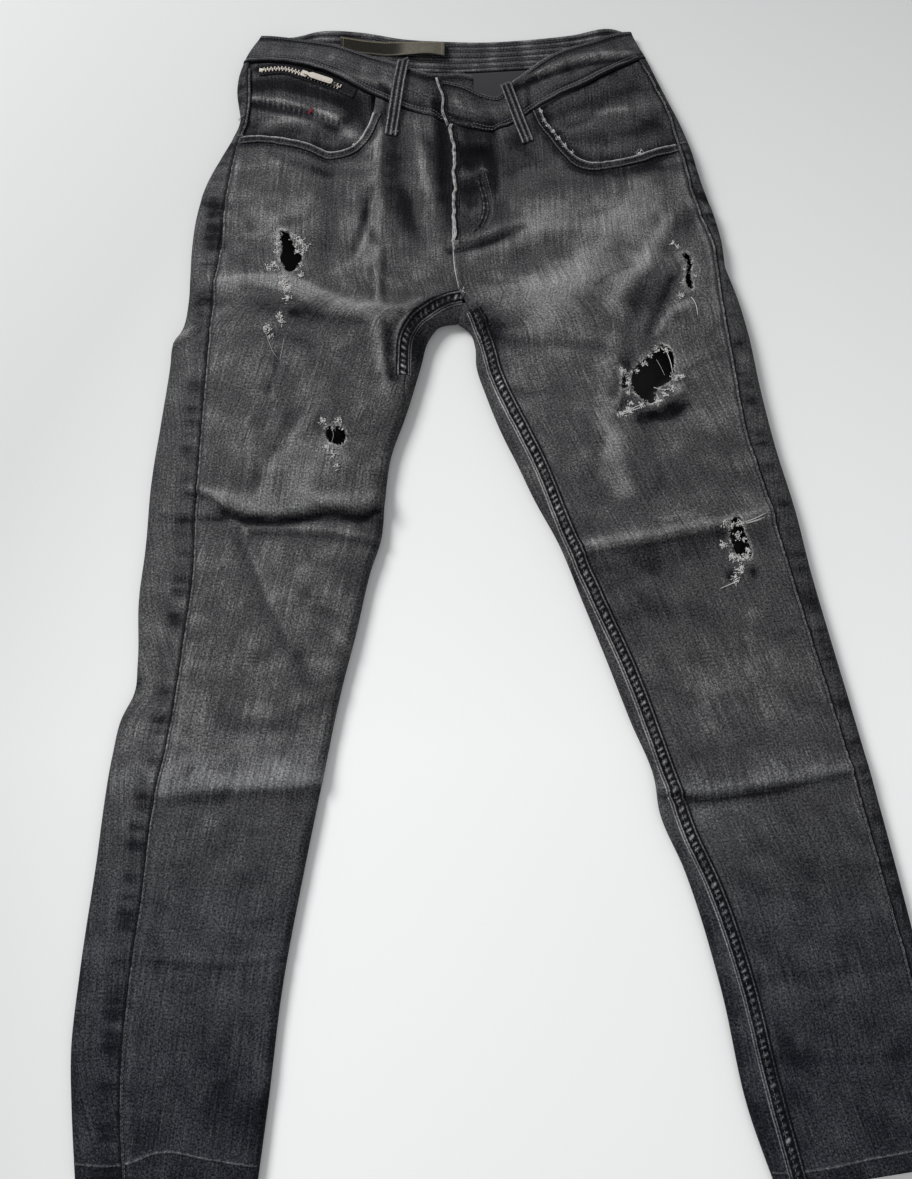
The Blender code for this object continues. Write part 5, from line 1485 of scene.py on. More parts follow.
def back_row(half, v, shares):
    """One row of the back, from its inner end under round to the outseam."""
    top, seam, inseam = half.top_row(v)
    under = half.under_row(v)
    wide = lengths(under)[-1]
    reach_in = inner_reach(half, v)
    reach_out = EDGE_REACH * float(edge_rise(under[-1:])[0])
    start = max(inseam + SEAM_GAP / 2, 0.0 if v > 1 + GAP_SHARE else 0.2)
    first = along_cloth(start, reach_in)
    fold = wide - reach_in - reach_out + 1.2 * (reach_in + reach_out)
    last = fold + along_cloth(seam - SEAM_GAP / 2, reach_out)
    at = first + (last - first) * shares(first, last, fold)
    from_in = round_edge(at, reach_in)
    from_out = round_edge(at - fold, reach_out)
    use_in = at < fold / 2
    place = np.where(use_in, from_in, wide + np.minimum(from_out, 0))
    plan = at_many(under, np.clip(place, 0, wide))
    over = at > fold
    plan[over] = at_many(top, from_out[over])
    return plan, over, at


def strip_row(half, v, count):
    """One row of the back's strip on the upper side, between inseam and inner fold."""
    top, _, inseam = half.top_row(v)
    reach = inner_reach(half, v)
    first = along_cloth(min(inseam + SEAM_GAP / 2, 0.0), reach)
    at = first * (1 - spread(count, edge_weight(0, -first, -first)))
    return at_many(top[::-1], -round_edge(at, reach)), at


def back_patch(name, title, first_v, last_v, body_rows):
    """A stretch of one half's back, round its outer fold to the outseam."""
    half = HALVES[name]
    columns, strip = BACK_COLUMNS, STRIP_COLUMNS
    rows = np.linspace(first_v, last_v, body_rows)
    if last_v > 1:
        rows = np.unique(np.concatenate([rows, [1 + GAP_SHARE, 1 + GAP_SHARE + 1e-4]]))

    def shares(first, last, fold):
        return spread(columns, edge_weight(first, last, 0.0, fold))
    plan, upper, across = stacked(back_row(half, v, shares) for v in rows)
    down = np.repeat([float(along_row(v)) for v in rows], columns)
    faces = [grid_faces(len(rows), columns)]
    if last_v > 1:
        inner = [v for v in rows if v > 1.0015]
        strips = [strip_row(half, v, strip) for v in inner]
        base = len(plan)
        plan = np.vstack([plan] + [s[0] for s in strips])
        across = np.concatenate([across] + [s[1] for s in strips])
        upper = np.concatenate([upper, np.ones(strip * len(inner), bool)])
        down = np.concatenate([down, np.repeat([float(along_row(v)) for v in inner], strip)])
        faces.append(grid_faces(len(inner), strip) + base)
    faces = np.vstack(faces)
    if half.side > 0:
        faces = faces[:, ::-1]
    points, ridge, near = surface(plan, upper)
    tone, cool = cloth_facts(plan, upper, half.side, ridge, near)
    cloth = np.column_stack([across, down, 0 * down])
    thing = new_piece(title, points, faces, [outer_denim(), inner_denim()], cloth=cloth, tone=tone,
                      cool=cool, fray=0 * tone)
    shape = bmesh.new()
    shape.from_mesh(thing.data)
    bmesh.ops.remove_doubles(shape, verts=shape.verts, dist=0.00002)
    bmesh.ops.dissolve_degenerate(shape, edges=shape.edges, dist=0.00001)
    shape.to_mesh(thing.data)
    shape.free()
    return thicken(thing, WALL)


COIN_POCKET = [(-213, 704), (-166, 689), (-119, 669)]
# Light and dark lines on the facings, painted highlights and painted shade under the zip, the band and
# along folds: line, width, change of tone
FACING_MARKS = {
    "right": [([(-212, 722), (-180, 719), (-150, 708), (-112, 692)], 6.0, -0.46),
              ([(-210, 742), (-180, 744), (-150, 736), (-110, 718)], 4.0, -0.38),
              ([(-213, 708), (-166, 695), (-122, 676)], 3.0, 0.32),
              ([(-210, 698), (-166, 682), (-122, 662)], 4.0, -0.24),
              ([(-108, 706), (-104, 690), (-112, 672)], 8.0, -0.30),
              ([(-112, 660), (-100, 652)], 8.0, 0.36),
              ([(-200, 672), (-170, 676), (-140, 668)], 7.0, 0.24)],
    "left": [([(100, 664), (118, 674), (137, 682), (173, 690)], 5.0, 0.20),
             ([(112, 680), (150, 700), (190, 716)], 7.0, -0.12),
             ([(120, 650), (150, 654), (190, 664), (214, 684)], 8.0, -0.14),
             ([(108, 648), (130, 640), (160, 640)], 4.0, 0.08), ([(230, 660), (236, 700)], 10.0, -0.12)],
}


def facing(name):
    """The cloth under a pocket's mouth, with the coin pocket's edge on the right one."""
    half = HALVES[name]
    rows = np.linspace(0.002, FACING_END, 60)
    count = 64
    plan = stacked(front_row(half, v, lambda a, b: np.linspace(0, FACING_ACROSS, count))
                   for v in rows)[0]
    points, ridge, near = surface(plan, True)
    normal = grid_normals(points.reshape(len(rows), count, 3)).reshape(-1, 3) * -half.side
    # The facing is made darker than the cloth over it, and darker still near the mouth's edge, as
    # painted shade under the front panel.
    tone = tone_at(plan, ridge, near, half.side) - 0.09
    opening = np.array(MOUTH_RIGHT if half.side < 0 else MOUTH_LEFT, float)
    edge = nearest_on(plan, smooth(opening))[0]
    tone -= 0.24 * hump(edge, 0, 8.0)
    points = points - (WALL + UNDER_GAP) * normal
    for line, wide, change in FACING_MARKS[name]:
        far = nearest_on(plan, smooth(line))[0]
        tone += change * hump(far, 0, wide)
    if half.side < 0:
        hatch = nearest_on(plan, smooth(COIN_POCKET))[0]
        tone += 0.2 * hump(hatch, 0, 3.2) * np.sin(plan[:, 0] / 0.9)
    faces = grid_faces(len(rows), count)
    if half.side > 0:
        faces = faces[:, ::-1]
    thing = new_piece(f"pocket_facing_cloth_{name}", points, faces,
                      [outer_denim(), inner_denim()], cloth=flat_weave(plan),
                      tone=np.clip(tone, 0.05, 1), cool=0 * tone, fray=0 * tone)
    return thicken(thing, FACING_WALL)


def shield():
    """The strip behind the fly, narrower than the solid that it stands for."""
    rows = np.linspace(0.002, SHIELD_END, 70)
    side = 8
    plan = []
    for v in rows:
        right, left = RIGHT.inner_at(v, RIGHT.front_middle), LEFT.inner_at(v, LEFT.front_middle)
        reach = inner_reach(RIGHT, v)
        top_r, top_l = RIGHT.top_row(v)[0][::-1], LEFT.top_row(v)[0][::-1]
        first = at_many(top_r, np.linspace(reach, 0.3, side))
        last = at_many(top_l, np.linspace(0.3, 12.0, side))
        plan.append(np.vstack([first, [(right + left) / 2], last]))
    plan = np.vstack(plan)
    points = surface(plan, True)[0]
    normal = grid_normals(points.reshape(len(rows), 2 * side + 1, 3)).reshape(-1, 3)
    points = points - (WALL + SHIELD_GAP) * normal
    # The shield's dark tone is painted shade behind the fly.
    thing = new_piece("fly_shield_cloth", points, grid_faces(len(rows), 2 * side + 1),
                      [outer_denim(), inner_denim()], cloth=flat_weave(plan),
                      tone=np.full(len(plan), 0.16))
    return thicken(thing, FACING_WALL)


def back_band(b, shares):
    """Points of the back band's plan line at height b."""
    low, high = np.array(BACK_SEAM, float), smooth(BACK_TOP)
    return at_shares(low, shares) * (1 - b) + at_shares(high, shares) * b


def band_line(b):
    """The band's plan line at height b: (plan, upper, the run along it)."""
    folds = []
    for side_band in (OUTER_RIGHT_BAND, OUTER_LEFT_BAND):
        folds.append(at_share(smooth(side_band)[::-1], b))
    right_fold, left_fold = folds
    parts = []
    for half, seam, top in ((RIGHT, WAIST_SEAM_RIGHT + UNDERLAP_SEAM, BAND_TOP_RIGHT),
                            (LEFT, WAIST_SEAM_LEFT, BAND_TOP_LEFT)):
        low = joined(np.vstack([half.outer_at(0), seam[0]]), smooth(seam))
        shares = np.linspace(0, 1, 60)
        low, high = at_shares(low, shares), at_shares(smooth(top), shares)
        parts.append(low + (high - low) * b)
    right, left = parts
    right[0], left[0] = right_fold, left_fold
    back = back_band(b, np.linspace(0, 1, 80))
    back[0], back[-1] = right_fold, left_fold
    reach = EDGE_REACH * float(edge_rise(right_fold[None])[0])
    turn = reach * (1 - np.cos(np.linspace(0, math.pi / 2, 9)))
    rows = []
    ends = np.linspace(lengths(right)[-1], reach, 90)
    rows.append((at_many(right, np.concatenate([ends[:-1], turn[::-1]])), True))
    long = lengths(back)[-1]
    inner = np.concatenate([turn[1:], np.linspace(reach, long - reach, 120)[1:-1],
                            long - turn[:0:-1]])
    rows.append((at_many(back, inner), False))
    ends = np.linspace(reach, lengths(left)[-1], 90)
    rows.append((at_many(left, np.concatenate([turn[:-1], ends])), True))
    plan = np.vstack([r[0] for r in rows])
    upper = np.concatenate([np.full(len(r[0]), r[1]) for r in rows])
    return plan, upper, [len(r[0]) for r in rows]


BAND_CREASES = [
    ([(-163, 743), (-131, 731), (-94, 717), (-63, 708)], 3.0, 5.0, 1.3),
    ([(-163, 737), (-131, 724), (-94, 710), (-63, 700)], 4.0, 3.0, -1.0),
    ([(58, 708), (77, 718), (114, 740), (151, 756), (183, 762)], 4.0, 3.0, 1.6),
    ([(53, 700), (98, 724), (138, 741), (183, 754), (215, 762)], 3.0, 3.5, -2.0),
    ([(-58, 728), (-34, 716), (-22, 716)], 3.0, 3.0, -0.8),
]


def band_patch():
    """The waistband, round the waist from its underlap to its overlap."""
    heights = np.linspace(BAND_CLEAR / BAND_HIGH, 1.0, 20)
    made = [band_line(b) for b in heights]
    plan = np.vstack([m[0] for m in made])
    upper = np.concatenate([m[1] for m in made])
    counts = made[0][2]
    columns = sum(counts)
    points, ridge, near = surface(plan, upper)
    grid = points.reshape(len(heights), columns, 3)
    normal = -grid_normals(grid)
    if normal[10, 20, 2] < 0:
        normal = -normal
    normal = normal.reshape(-1, 3)
    column = np.tile(np.arange(columns), len(heights))
    share = np.repeat(heights, columns)
    drop = np.where(column < 89, UNDERLAP_DROP * soft_step(
        (plan[:, 0] - UNDERLAP_FROM) / UNDERLAP_OVER), 0)
    lift = np.where(normal[:, 2] > 0, BAND_PROUD, 0.0) - drop
    corrugated = np.cos(2 * math.pi * (share - 0.16) / 0.18)
    rolled = (0.5 * hump(share, 0.97, 0.05) + 0.35 * hump(share, 0.07, 0.045)
              - 0.3 * hump(share, 0.15, 0.03))
    lift = lift + rolled * upper + 0.28 * corrugated * ~upper
    for line, left, right, high in BAND_CREASES:
        d, _, side, _ = nearest_on(plan, smooth(line))
        bump = high * hump(d, 0, np.where(side > 0, left, right)) * upper
        lift += bump
        # The creases also lighten and darken the band's tone, as painted highlight and shade.
        ridge = ridge + bump / 0.9
    run = np.cumsum(np.concatenate([[0], np.linalg.norm(np.diff(grid[10], axis=0), axis=1)]))
    lift += 0.28 * wave(run[column], 31) * np.sin(math.pi * share) * upper
    points = points + lift[:, None] * normal
    tone = two_sides(plan, ridge, 99 + 0 * near, column < counts[0])
    # The inner face's tone follows its corrugation as painted light and shade, with some uneven tone.
    inner = 0.33 - 0.24 * corrugated + 0.14 * wave(run[column] * 0.7, 33)
    tone = np.where(upper, tone - 0.03, inner)
    # Painted highlights on the rolled top and lower edges, partly their wear too, and on the middle;
    # painted shade in the dips beside the rolls and at the waist seam; the wave term is uneven tone.
    tone += 0.30 * hump(share, 0.985, 0.02)
    tone -= 0.22 * hump(share, 0.90, 0.05) * upper
    tone += 0.08 * hump(share, 0.5, 0.2) * upper
    tone += 0.10 * hump(share, 0.55, 0.2) * wave(run[column], 34) * upper
    tone += 0.28 * hump(share, 0.10, 0.025) * upper
    tone -= 0.34 * hump(share, 0.03, 0.035) * upper
    tone -= 0.20 * hump(share, 0.19, 0.04) * upper
    cloth = np.column_stack([43 * share, run[column], 0 * share])
    faces = grid_faces(len(heights), columns)
    thing = new_piece("waistband_cloth", points, faces, [outer_denim(), outer_denim()],
                      cloth=cloth, tone=np.clip(tone, 0, 1), cool=0 * tone, fray=0 * tone)
    check = thing.data.polygons[10 * (columns - 1) + 20].normal.z
    if check < 0:
        thing.data.flip_normals()
    return thicken(thing, BAND_WALL)


def back_band_ridges():
    """Rows of stitching on the inner face of the back band, and its lower edge."""
    parts = []
    for b in (0.16, 0.34, 0.52, 0.70, 0.88):
        line = back_band(b, np.linspace(0.27, 0.83, 200))
        points = np.column_stack([line, np.full(len(line), SEAT_RAISE + BAND_WALL + 0.1)])
        parts.append(dashes(points, upward_normals(points), 3.3, 2.7, 0.9, 0.5))
    return merged(parts)


def loop_patch(name, top, foot):
    """A front belt loop, arched off the band between its two ends."""
    top, foot = np.array(top, float), np.array(foot, float)
    along = (foot - top) / np.linalg.norm(foot - top)
    across = np.array([-along[1], along[0]]) * LOOP_WIDE / 2
    shares = np.linspace(0, 1, 44)
    sides = np.array([-1.0, -0.93, -0.8, -0.62, -0.4, -0.2, 0.0, 0.2, 0.4, 0.62, 0.8, 0.93, 1.0])
    plan = (top + np.outer(shares, foot - top))[:, None] + sides[None, :, None] * across
    base, normal = on_top(plan.reshape(-1, 2), plain=True)
    share, side = np.repeat(shares, len(sides)), np.tile(sides, len(shares))
    lift = LOOP_CLEAR + LOOP_WALL + BAND_PROUD + LOOP_ARCH * np.sin(math.pi * share) + 0.25
    ridge = (hump(np.abs(side), 0.8, 0.12) + 0.8 * hump(side, 0, 0.16)
             - 0.5 * hump(np.abs(side), 0.42, 0.14))
    lift += 0.5 * ridge + 0.15 * np.sin(share * 60 + side * 3)
    lift -= 1.1 * (hump(share, 0, 0.03) + hump(1, share, 0.03))
    points = base + lift[:, None] * normal
    # Lighter on the loop's raised edges and middle, partly wear and partly painted highlight, painted
    # shade in the grooves between them, and lighter at its foot.
    tone = 0.28 + 0.50 * ridge + 0.16 * hump(1, share, 0.06)
    cloth = np.column_stack([side * LOOP_WIDE / 2, share * 85, 0 * share])
    faces = grid_faces(len(shares), len(sides))
    thing = new_piece(f"{name}_cloth", points, faces, [outer_denim(), inner_denim()], cloth=cloth,
                      tone=np.clip(tone, 0, 1), cool=0 * tone, fray=0 * tone)
    return thicken(facing_way(thing), LOOP_WALL)


def flat_cloth(name, outline, low, high):
    """A flat cloth plate with a softly rounded rim, on the hidden underside."""
    line = evenly(np.array([*outline, outline[0]], float), 3.0)[:-1]
    middle = line.mean(0)
    rings = [(1.0, low + 0.35), (0.997, low), (0.9, low), (0.6, low), (0.3, low)]
    points = []
    for share, z in rings:
        points.append(np.column_stack([middle + (line - middle) * share,
                                       np.full(len(line), z)]))
    count = len(line)
    verts = np.vstack(points + [[[*middle, low]]])
    faces = ring_faces(count, len(rings))
    last = (len(rings) - 1) * count
    for i in range(count):
        faces.append([last + i, last + (i + 1) % count, len(verts) - 1])
    cloth = np.column_stack([verts[:, 0], verts[:, 1], 0 * verts[:, 0]])
    thing = new_piece(name, verts, faces, [outer_denim(), inner_denim()], cloth=cloth,
                      tone=np.full(len(verts), 0.45))
    return thicken(facing_way(thing, False), high - low - 0.02)


# Small parts


def slider_frame():
    """(place, along, across, up) of the zip slider on its tape."""
    point, normal = on_top(SLIDER_AT, plain=True)
    up = normal[0]
    run = np.append(np.array(SLIDER_TOWARDS, float) - SLIDER_AT, 0.0)
    run = run - up * (run @ up)
    run = run / np.linalg.norm(run)
    lift = 2 * ZIP_CLEAR + ZIP_TAPE_WALL - WALL - UNDER_GAP
    return point[0] + lift * up, run, np.cross(up, run), up


def prism(frame_axes, outline, low, high, bevel):
    """A prism with softened edges over an outline in its own axes: (points, faces)."""
    place, along, across, up = frame_axes
    outline = np.array(outline, float)
    middle = outline.mean(0)
    rings = []
    for z, draw in ((low, bevel), (low + bevel, 0.0), (high - bevel, 0.0), (high, bevel)):
        way = outline - middle
        size = np.linalg.norm(way, axis=1, keepdims=True)
        flat = outline - way / size * draw
        rings.append(place + flat[:, :1] * along + flat[:, 1:] * across + z * up)
    count = len(outline)
    faces = [list(range(count))[::-1], [3 * count + i for i in range(count)]]
    return np.vstack(rings), faces + ring_faces(count, 4)


def outward(thing):
    """Turns a closed mesh's faces outward."""
    shape = bmesh.new()
    shape.from_mesh(thing.data)
    bmesh.ops.recalc_face_normals(shape, faces=shape.faces)
    shape.to_mesh(thing.data)
    shape.free()
    return thing


def solid(name, parts, material, body=GARMENT, sharp=35):
    """Closed meshes as one piece."""
    thing = outward(new_piece(name, *merged(parts), material, body))
    if sharp:
        thing.data.set_sharp_from_angle(angle=math.radians(sharp))
    return thing


def zip_parts():
    """The zip: tape, teeth, stops, slider and its bare pull tab."""
    tape_line = evenly(smooth(ZIP_LINE), 1.5)
    offsets = np.linspace(-ZIP_WIDE / 2, ZIP_WIDE / 2, 13)
    plan = np.stack([beside(tape_line, o) for o in offsets], 1).reshape(-1, 2)
    lift = ZIP_CLEAR + ZIP_TAPE_WALL - WALL - UNDER_GAP
    points, normals = on_top(plan, plain=True)
    ridge = 0.25 * np.exp(-((np.tile(np.abs(offsets), len(tape_line)) - 4.6) / 0.5) ** 2)
    points = points + (lift + ridge)[:, None] * normals
    cloth = np.column_stack([np.tile(offsets, len(tape_line)),
                             np.repeat(lengths(tape_line), 13), 0 * ridge])
    tape = new_piece("zip_tape_cloth", points, grid_faces(len(tape_line), 13)[:, ::-1],
                     [denim("zip_tape_twill", -0.2), denim("zip_tape_twill", -0.2)],
                     cloth=cloth, tone=np.full(len(points), 0.36))
    thicken(facing_way(tape), ZIP_TAPE_WALL)
    line, up = on_top(tape_line, lift, plain=True)
    teeth = []
    run = lengths(line)
    for k, at in enumerate(np.arange(3.0, run[-1] - 16.0, TOOTH_PITCH)):
        place = at_many(line, [at])[0]
        near = int(np.searchsorted(run, at))
        ahead = line[min(near + 1, len(line) - 1)] - line[max(near - 1, 0)]
        ahead /= np.linalg.norm(ahead)
        normal = up[near]
        across = np.cross(normal, ahead)
        side = 1 if k % 2 else -1
        shut = place[0] < SLIDER_AT[0] + 2
        out = TOOTH_SHUT if shut else TOOTH_OPEN
        axes = (place + across * side * out, ahead, across, normal)
        teeth.append(prism(axes, [(-0.6, -2.1), (0.6, -2.1), (0.6, 2.1), (-0.6, 2.1)], 0.1, 1.2,
                           0.18))
    place, ahead = at_many(line, [2.0])[0], line[3] - line[1]
    ahead /= np.linalg.norm(ahead)
    axes = (place, ahead, np.cross(up[2], ahead), up[2])
    teeth.append(prism(axes, [(-2.2, -2.6), (2.4, -1.2), (2.4, 1.2), (-2.2, 2.6)], 0.05, 1.5, 0.3))
    teeth_piece = solid("zip_teeth", teeth, zip_metal())
    axes = slider_frame()
    long, wide, high = SLIDER_SIZE
    body = [(-long / 2, -wide / 2), (long / 4, -wide / 2), (long / 2, -wide / 4),
            (long / 2, wide / 4), (long / 4, wide / 2), (-long / 2, wide / 2)]
    bridge = [(-2.6, -0.9), (2.4, -0.9), (2.4, 0.9), (-2.6, 0.9)]
    slider = solid("zip_slider_body", [prism(axes, body, 1.35, high - 0.05, 0.3),
                                       prism(axes, bridge, high - 0.35, high + 0.2, 0.25)],
                   zip_metal())
    low = high + PULL_CLEAR
    neck, half = PULL_NECK / 2, PULL_WIDE / 2
    rim = [(-PULL_THICK / 2, -neck), (5.0, -neck), (8.0, -half), (PULL_LONG - 2, -half),
           (PULL_LONG - 0.6, -half + 0.7), (PULL_LONG, -half + 2), (PULL_LONG, half - 2),
           (PULL_LONG - 0.6, half - 0.7), (PULL_LONG - 2, half), (8.0, half), (5.0, neck),
           (-PULL_THICK / 2, neck)]
    pad = [(11.0, -half + 1.3), (PULL_LONG - 3.4, -half + 1.3), (PULL_LONG - 2.4, 0.0),
           (PULL_LONG - 3.4, half - 1.3), (11.0, half - 1.3), (10.2, 0.0)]
    pull = solid("zip_pull_metal", [prism(axes, rim, low, low + PULL_THICK, 0.28),
                                    prism(axes, pad, low + PULL_THICK - 0.2,
                                          low + PULL_THICK + 0.22, 0.15)], zip_metal(), PULL)
    return tape, teeth_piece, slider, pull


def label_patch():
    """The bare waist label, curled at its right part, with a stitched top edge."""
    line = np.array(LABEL, float)
    run = lengths(line)
    fine = np.linspace(0, run[-1], 74)
    x, y = at_many(line, fine).T
    arch = np.interp(fine, run, LABEL_ARCH)
    arch = np.convolve(np.pad(arch, 4, "edge"), np.ones(9) / 9, "valid")
    ups = np.linspace(-0.5, 0.5, 17)
    points, tone = [], []
    for k in range(len(fine)):
        for up in ups:
            base = SEAT_RAISE + BAND_WALL + SEAM_GAP + LABEL_WALL + arch[k]
            z = base + 0.6 * arch[k] * (0.5 - up) + 0.25 * math.sin(fine[k] / 9 + 3 * up)
            z += 0.35 * math.exp(-(((up - 0.36) / 0.05) ** 2))
            points.append([x[k], y[k] + up * LABEL_HIGH, z])
            tone.append(0.15 + 0.85 * float(soft_step((fine[k] / run[-1] - 0.5) / 0.16))
                        + 0.7 * (abs(up) > 0.4))
    thing = new_piece("waist_label_leather", points, grid_faces(len(fine), len(ups)),
                      [label_material(), label_material()], tone=tone)
    thicken(facing_way(thing), LABEL_WALL)
    grid = np.array(points).reshape(len(fine), len(ups), 3)
    row = grid[:, 14] + (0, 0, 0.08)
    rows = [dashes(row, upward_normals(row), 2.6, 2.0, 0.9, 0.35)]
    for column in (2, len(fine) - 3):
        side = grid[column, 1:-1] + (0, 0, 0.08)
        rows.append(dashes(side, upward_normals(side), 2.6, 2.0, 0.6, 0.3))
    stitches = new_piece("waist_label_stitches", *merged(rows), grained(
        "label_thread", (0.42, 0.36, 0.27), (0.2, 0.165, 0.12), 1.5, roughness=0.9), GARMENT)
    return thing, stitches


def label_material():
    made = tinted("label_leather", colours().label, 1.6, 0.5, 0.28, bump=0.7, roughness=0.75)
    tree = made.node_tree
    colour = next(n for n in tree.nodes if n.type == "BSDF_PRINCIPLED").inputs["Base Color"]
    worn = put(tree, "MapRange", {"Value": attribute(tree, "tone", "Fac"), "To Min": 0.25})
    shaded = put(tree, "VectorMath", {0: colour.links[0].from_socket, "Scale": worn.outputs[0]},
                 operation="SCALE")
    tree.links.new(shaded.outputs[0], colour)
    return made


# Seams and fraying


MOUTHS = {"right": MOUTH_RIGHT[1:10], "left": MOUTH_LEFT[1:11]}
FLY_STITCH = [(24, 610), (30, 586), (32, 566), (26, 548), (14, 536), (-1, 529)]
BAND_END = [(-21, 714), (-18, 703), (-14, 693), (-14, 680), (-9, 664)]
FRONT_EDGE = [(-7, 667), (-3, 627), (-3, 580), (-3, 532), (-1, 504), (3, 486)]


def seam_rows():
    """Every row of stitches on the upper side: (line, lift, stitch width)."""
    proud = 0.9 + BAND_PROUD
    centre, inner_left, inner_right = (smooth(line) for line in (FRONT_EDGE[2:], INSEAM_LEFT,
                                                                 INSEAM_RIGHT))
    return [
        (beside(smooth(WAIST_SEAM_RIGHT), 3.0), proud, 0.9),
        (beside(smooth(WAIST_SEAM_RIGHT), 6.0), proud, 0.9),
        (beside(smooth(WAIST_SEAM_LEFT[:-1]), -3.0), proud, 0.9),
        (beside(smooth(WAIST_SEAM_LEFT[:-1]), -6.0), proud, 0.9),
        (beside(smooth(BAND_TOP_RIGHT), -3.0), proud, 0.8),
        (beside(smooth(BAND_TOP_LEFT), 3.0), proud, 0.8),
        (beside(OUTSEAMS["right"], 2.2)[4:], 0.25, 0.8),
        (beside(OUTSEAMS["left"], -2.2)[4:], 0.25, 0.8),
        (beside(smooth(MOUTHS["right"]), -2.4), 1.35, 0.75),
        (beside(smooth(MOUTHS["right"]), -7.4), 1.35, 0.75),
        (beside(smooth(MOUTHS["left"]), -2.4), 1.35, 0.75),
        (beside(smooth(MOUTHS["left"]), -7.4), 1.35, 0.75),
        (beside(smooth(FLY_STITCH), 4.5), 0.2 + FLY_LIFT, 0.5),
        (beside(centre, 3.0), 0.9, 0.8),
        (beside(centre, 8.0), 0.9, 0.8),
        (beside(inner_left, 2.6)[6:], 0.95, 0.8),
        (beside(inner_left, 8.2)[6:], 0.5, 0.8),
        (beside(inner_right, -2.4), 0.7, 0.8),
        (beside(inner_right, -7.6), 0.5, 0.8),
        (HEM_RIGHT, 0.4, 0.55),
        (HEM_LEFT, 0.4, 0.55),
    ]


def stitching():
    """All the stitches of the upper side, as one piece of thread."""
    pitch = sizes().stitch_pitch / MM
    parts = []
    for line, lift, wide in seam_rows():
        parts.append(stitch_line(line, lift, pitch, STITCH_SHARE * pitch, wide, 0.34))
    return new_piece("seam_stitches", *merged(parts), seam_thread())


def ridge_strip(name, line, offsets, profile, tones, lift=0.25, step=1.5, wobble=0.0,
                slant=0.0, seed=1, rungs=None, bars=0.0, pitch=8.6):
    """A narrow raised strip of cloth along a seam.

    profile and tones are its height and tone at each offset, the tones holding painted highlights on its
    raised edges and painted shade in its grooves, with some seam wear; wobble, slant and pitch give it
    the puckers of a sewn seam, and bars is how far they change its tone: lighter on their tops and
    darker between them, painted light and shade with some roping wear.
    """
    line = evenly(np.array(line, float), step)
    run = lengths(line)
    offsets, profile = np.array(offsets, float), np.array(profile, float)
    plan = np.stack([beside(line, o) for o in offsets], 1).reshape(-1, 2)
    across = np.tile(offsets, len(run))
    down = np.repeat(run, len(offsets))
    puckers = np.sin(2 * math.pi * (down + slant * across) / pitch + 1.6 * wave(down, seed))
    puckers *= 0.75 + 0.45 * wave(0.6 * down, seed + 40)
    high = np.tile(profile, len(run))
    full = high / max(profile.max(), 1e-6) if rungs is None else np.tile(rungs, len(run))
    lifts = lift + high + wobble * puckers * full
    ends = np.minimum(np.minimum(down, run[-1] - down) / 4.0, 1)
    lifts = lifts * (0.2 + 0.8 * ends)
    base, normals = on_top(plan, 0.0)
    points = base + lifts[:, None] * normals
    near = EDGES.read(plan)[1]
    tone = two_sides(plan, 0 * near, near, plan[:, 0] < 0)
    tone = tone + np.tile(tones, len(run)) + (bars or 0.8 * wobble) * puckers * full
    thing = new_piece(name, points, grid_faces(len(run), len(offsets)), seam_denim(),
                      cloth=np.column_stack([across, down, 0 * down]),
                      tone=np.clip(tone, 0, 1), cool=coolness(plan), fray=0 * tone)
    return thicken(facing_way(thing), STRIP_WALL, 0, 0)


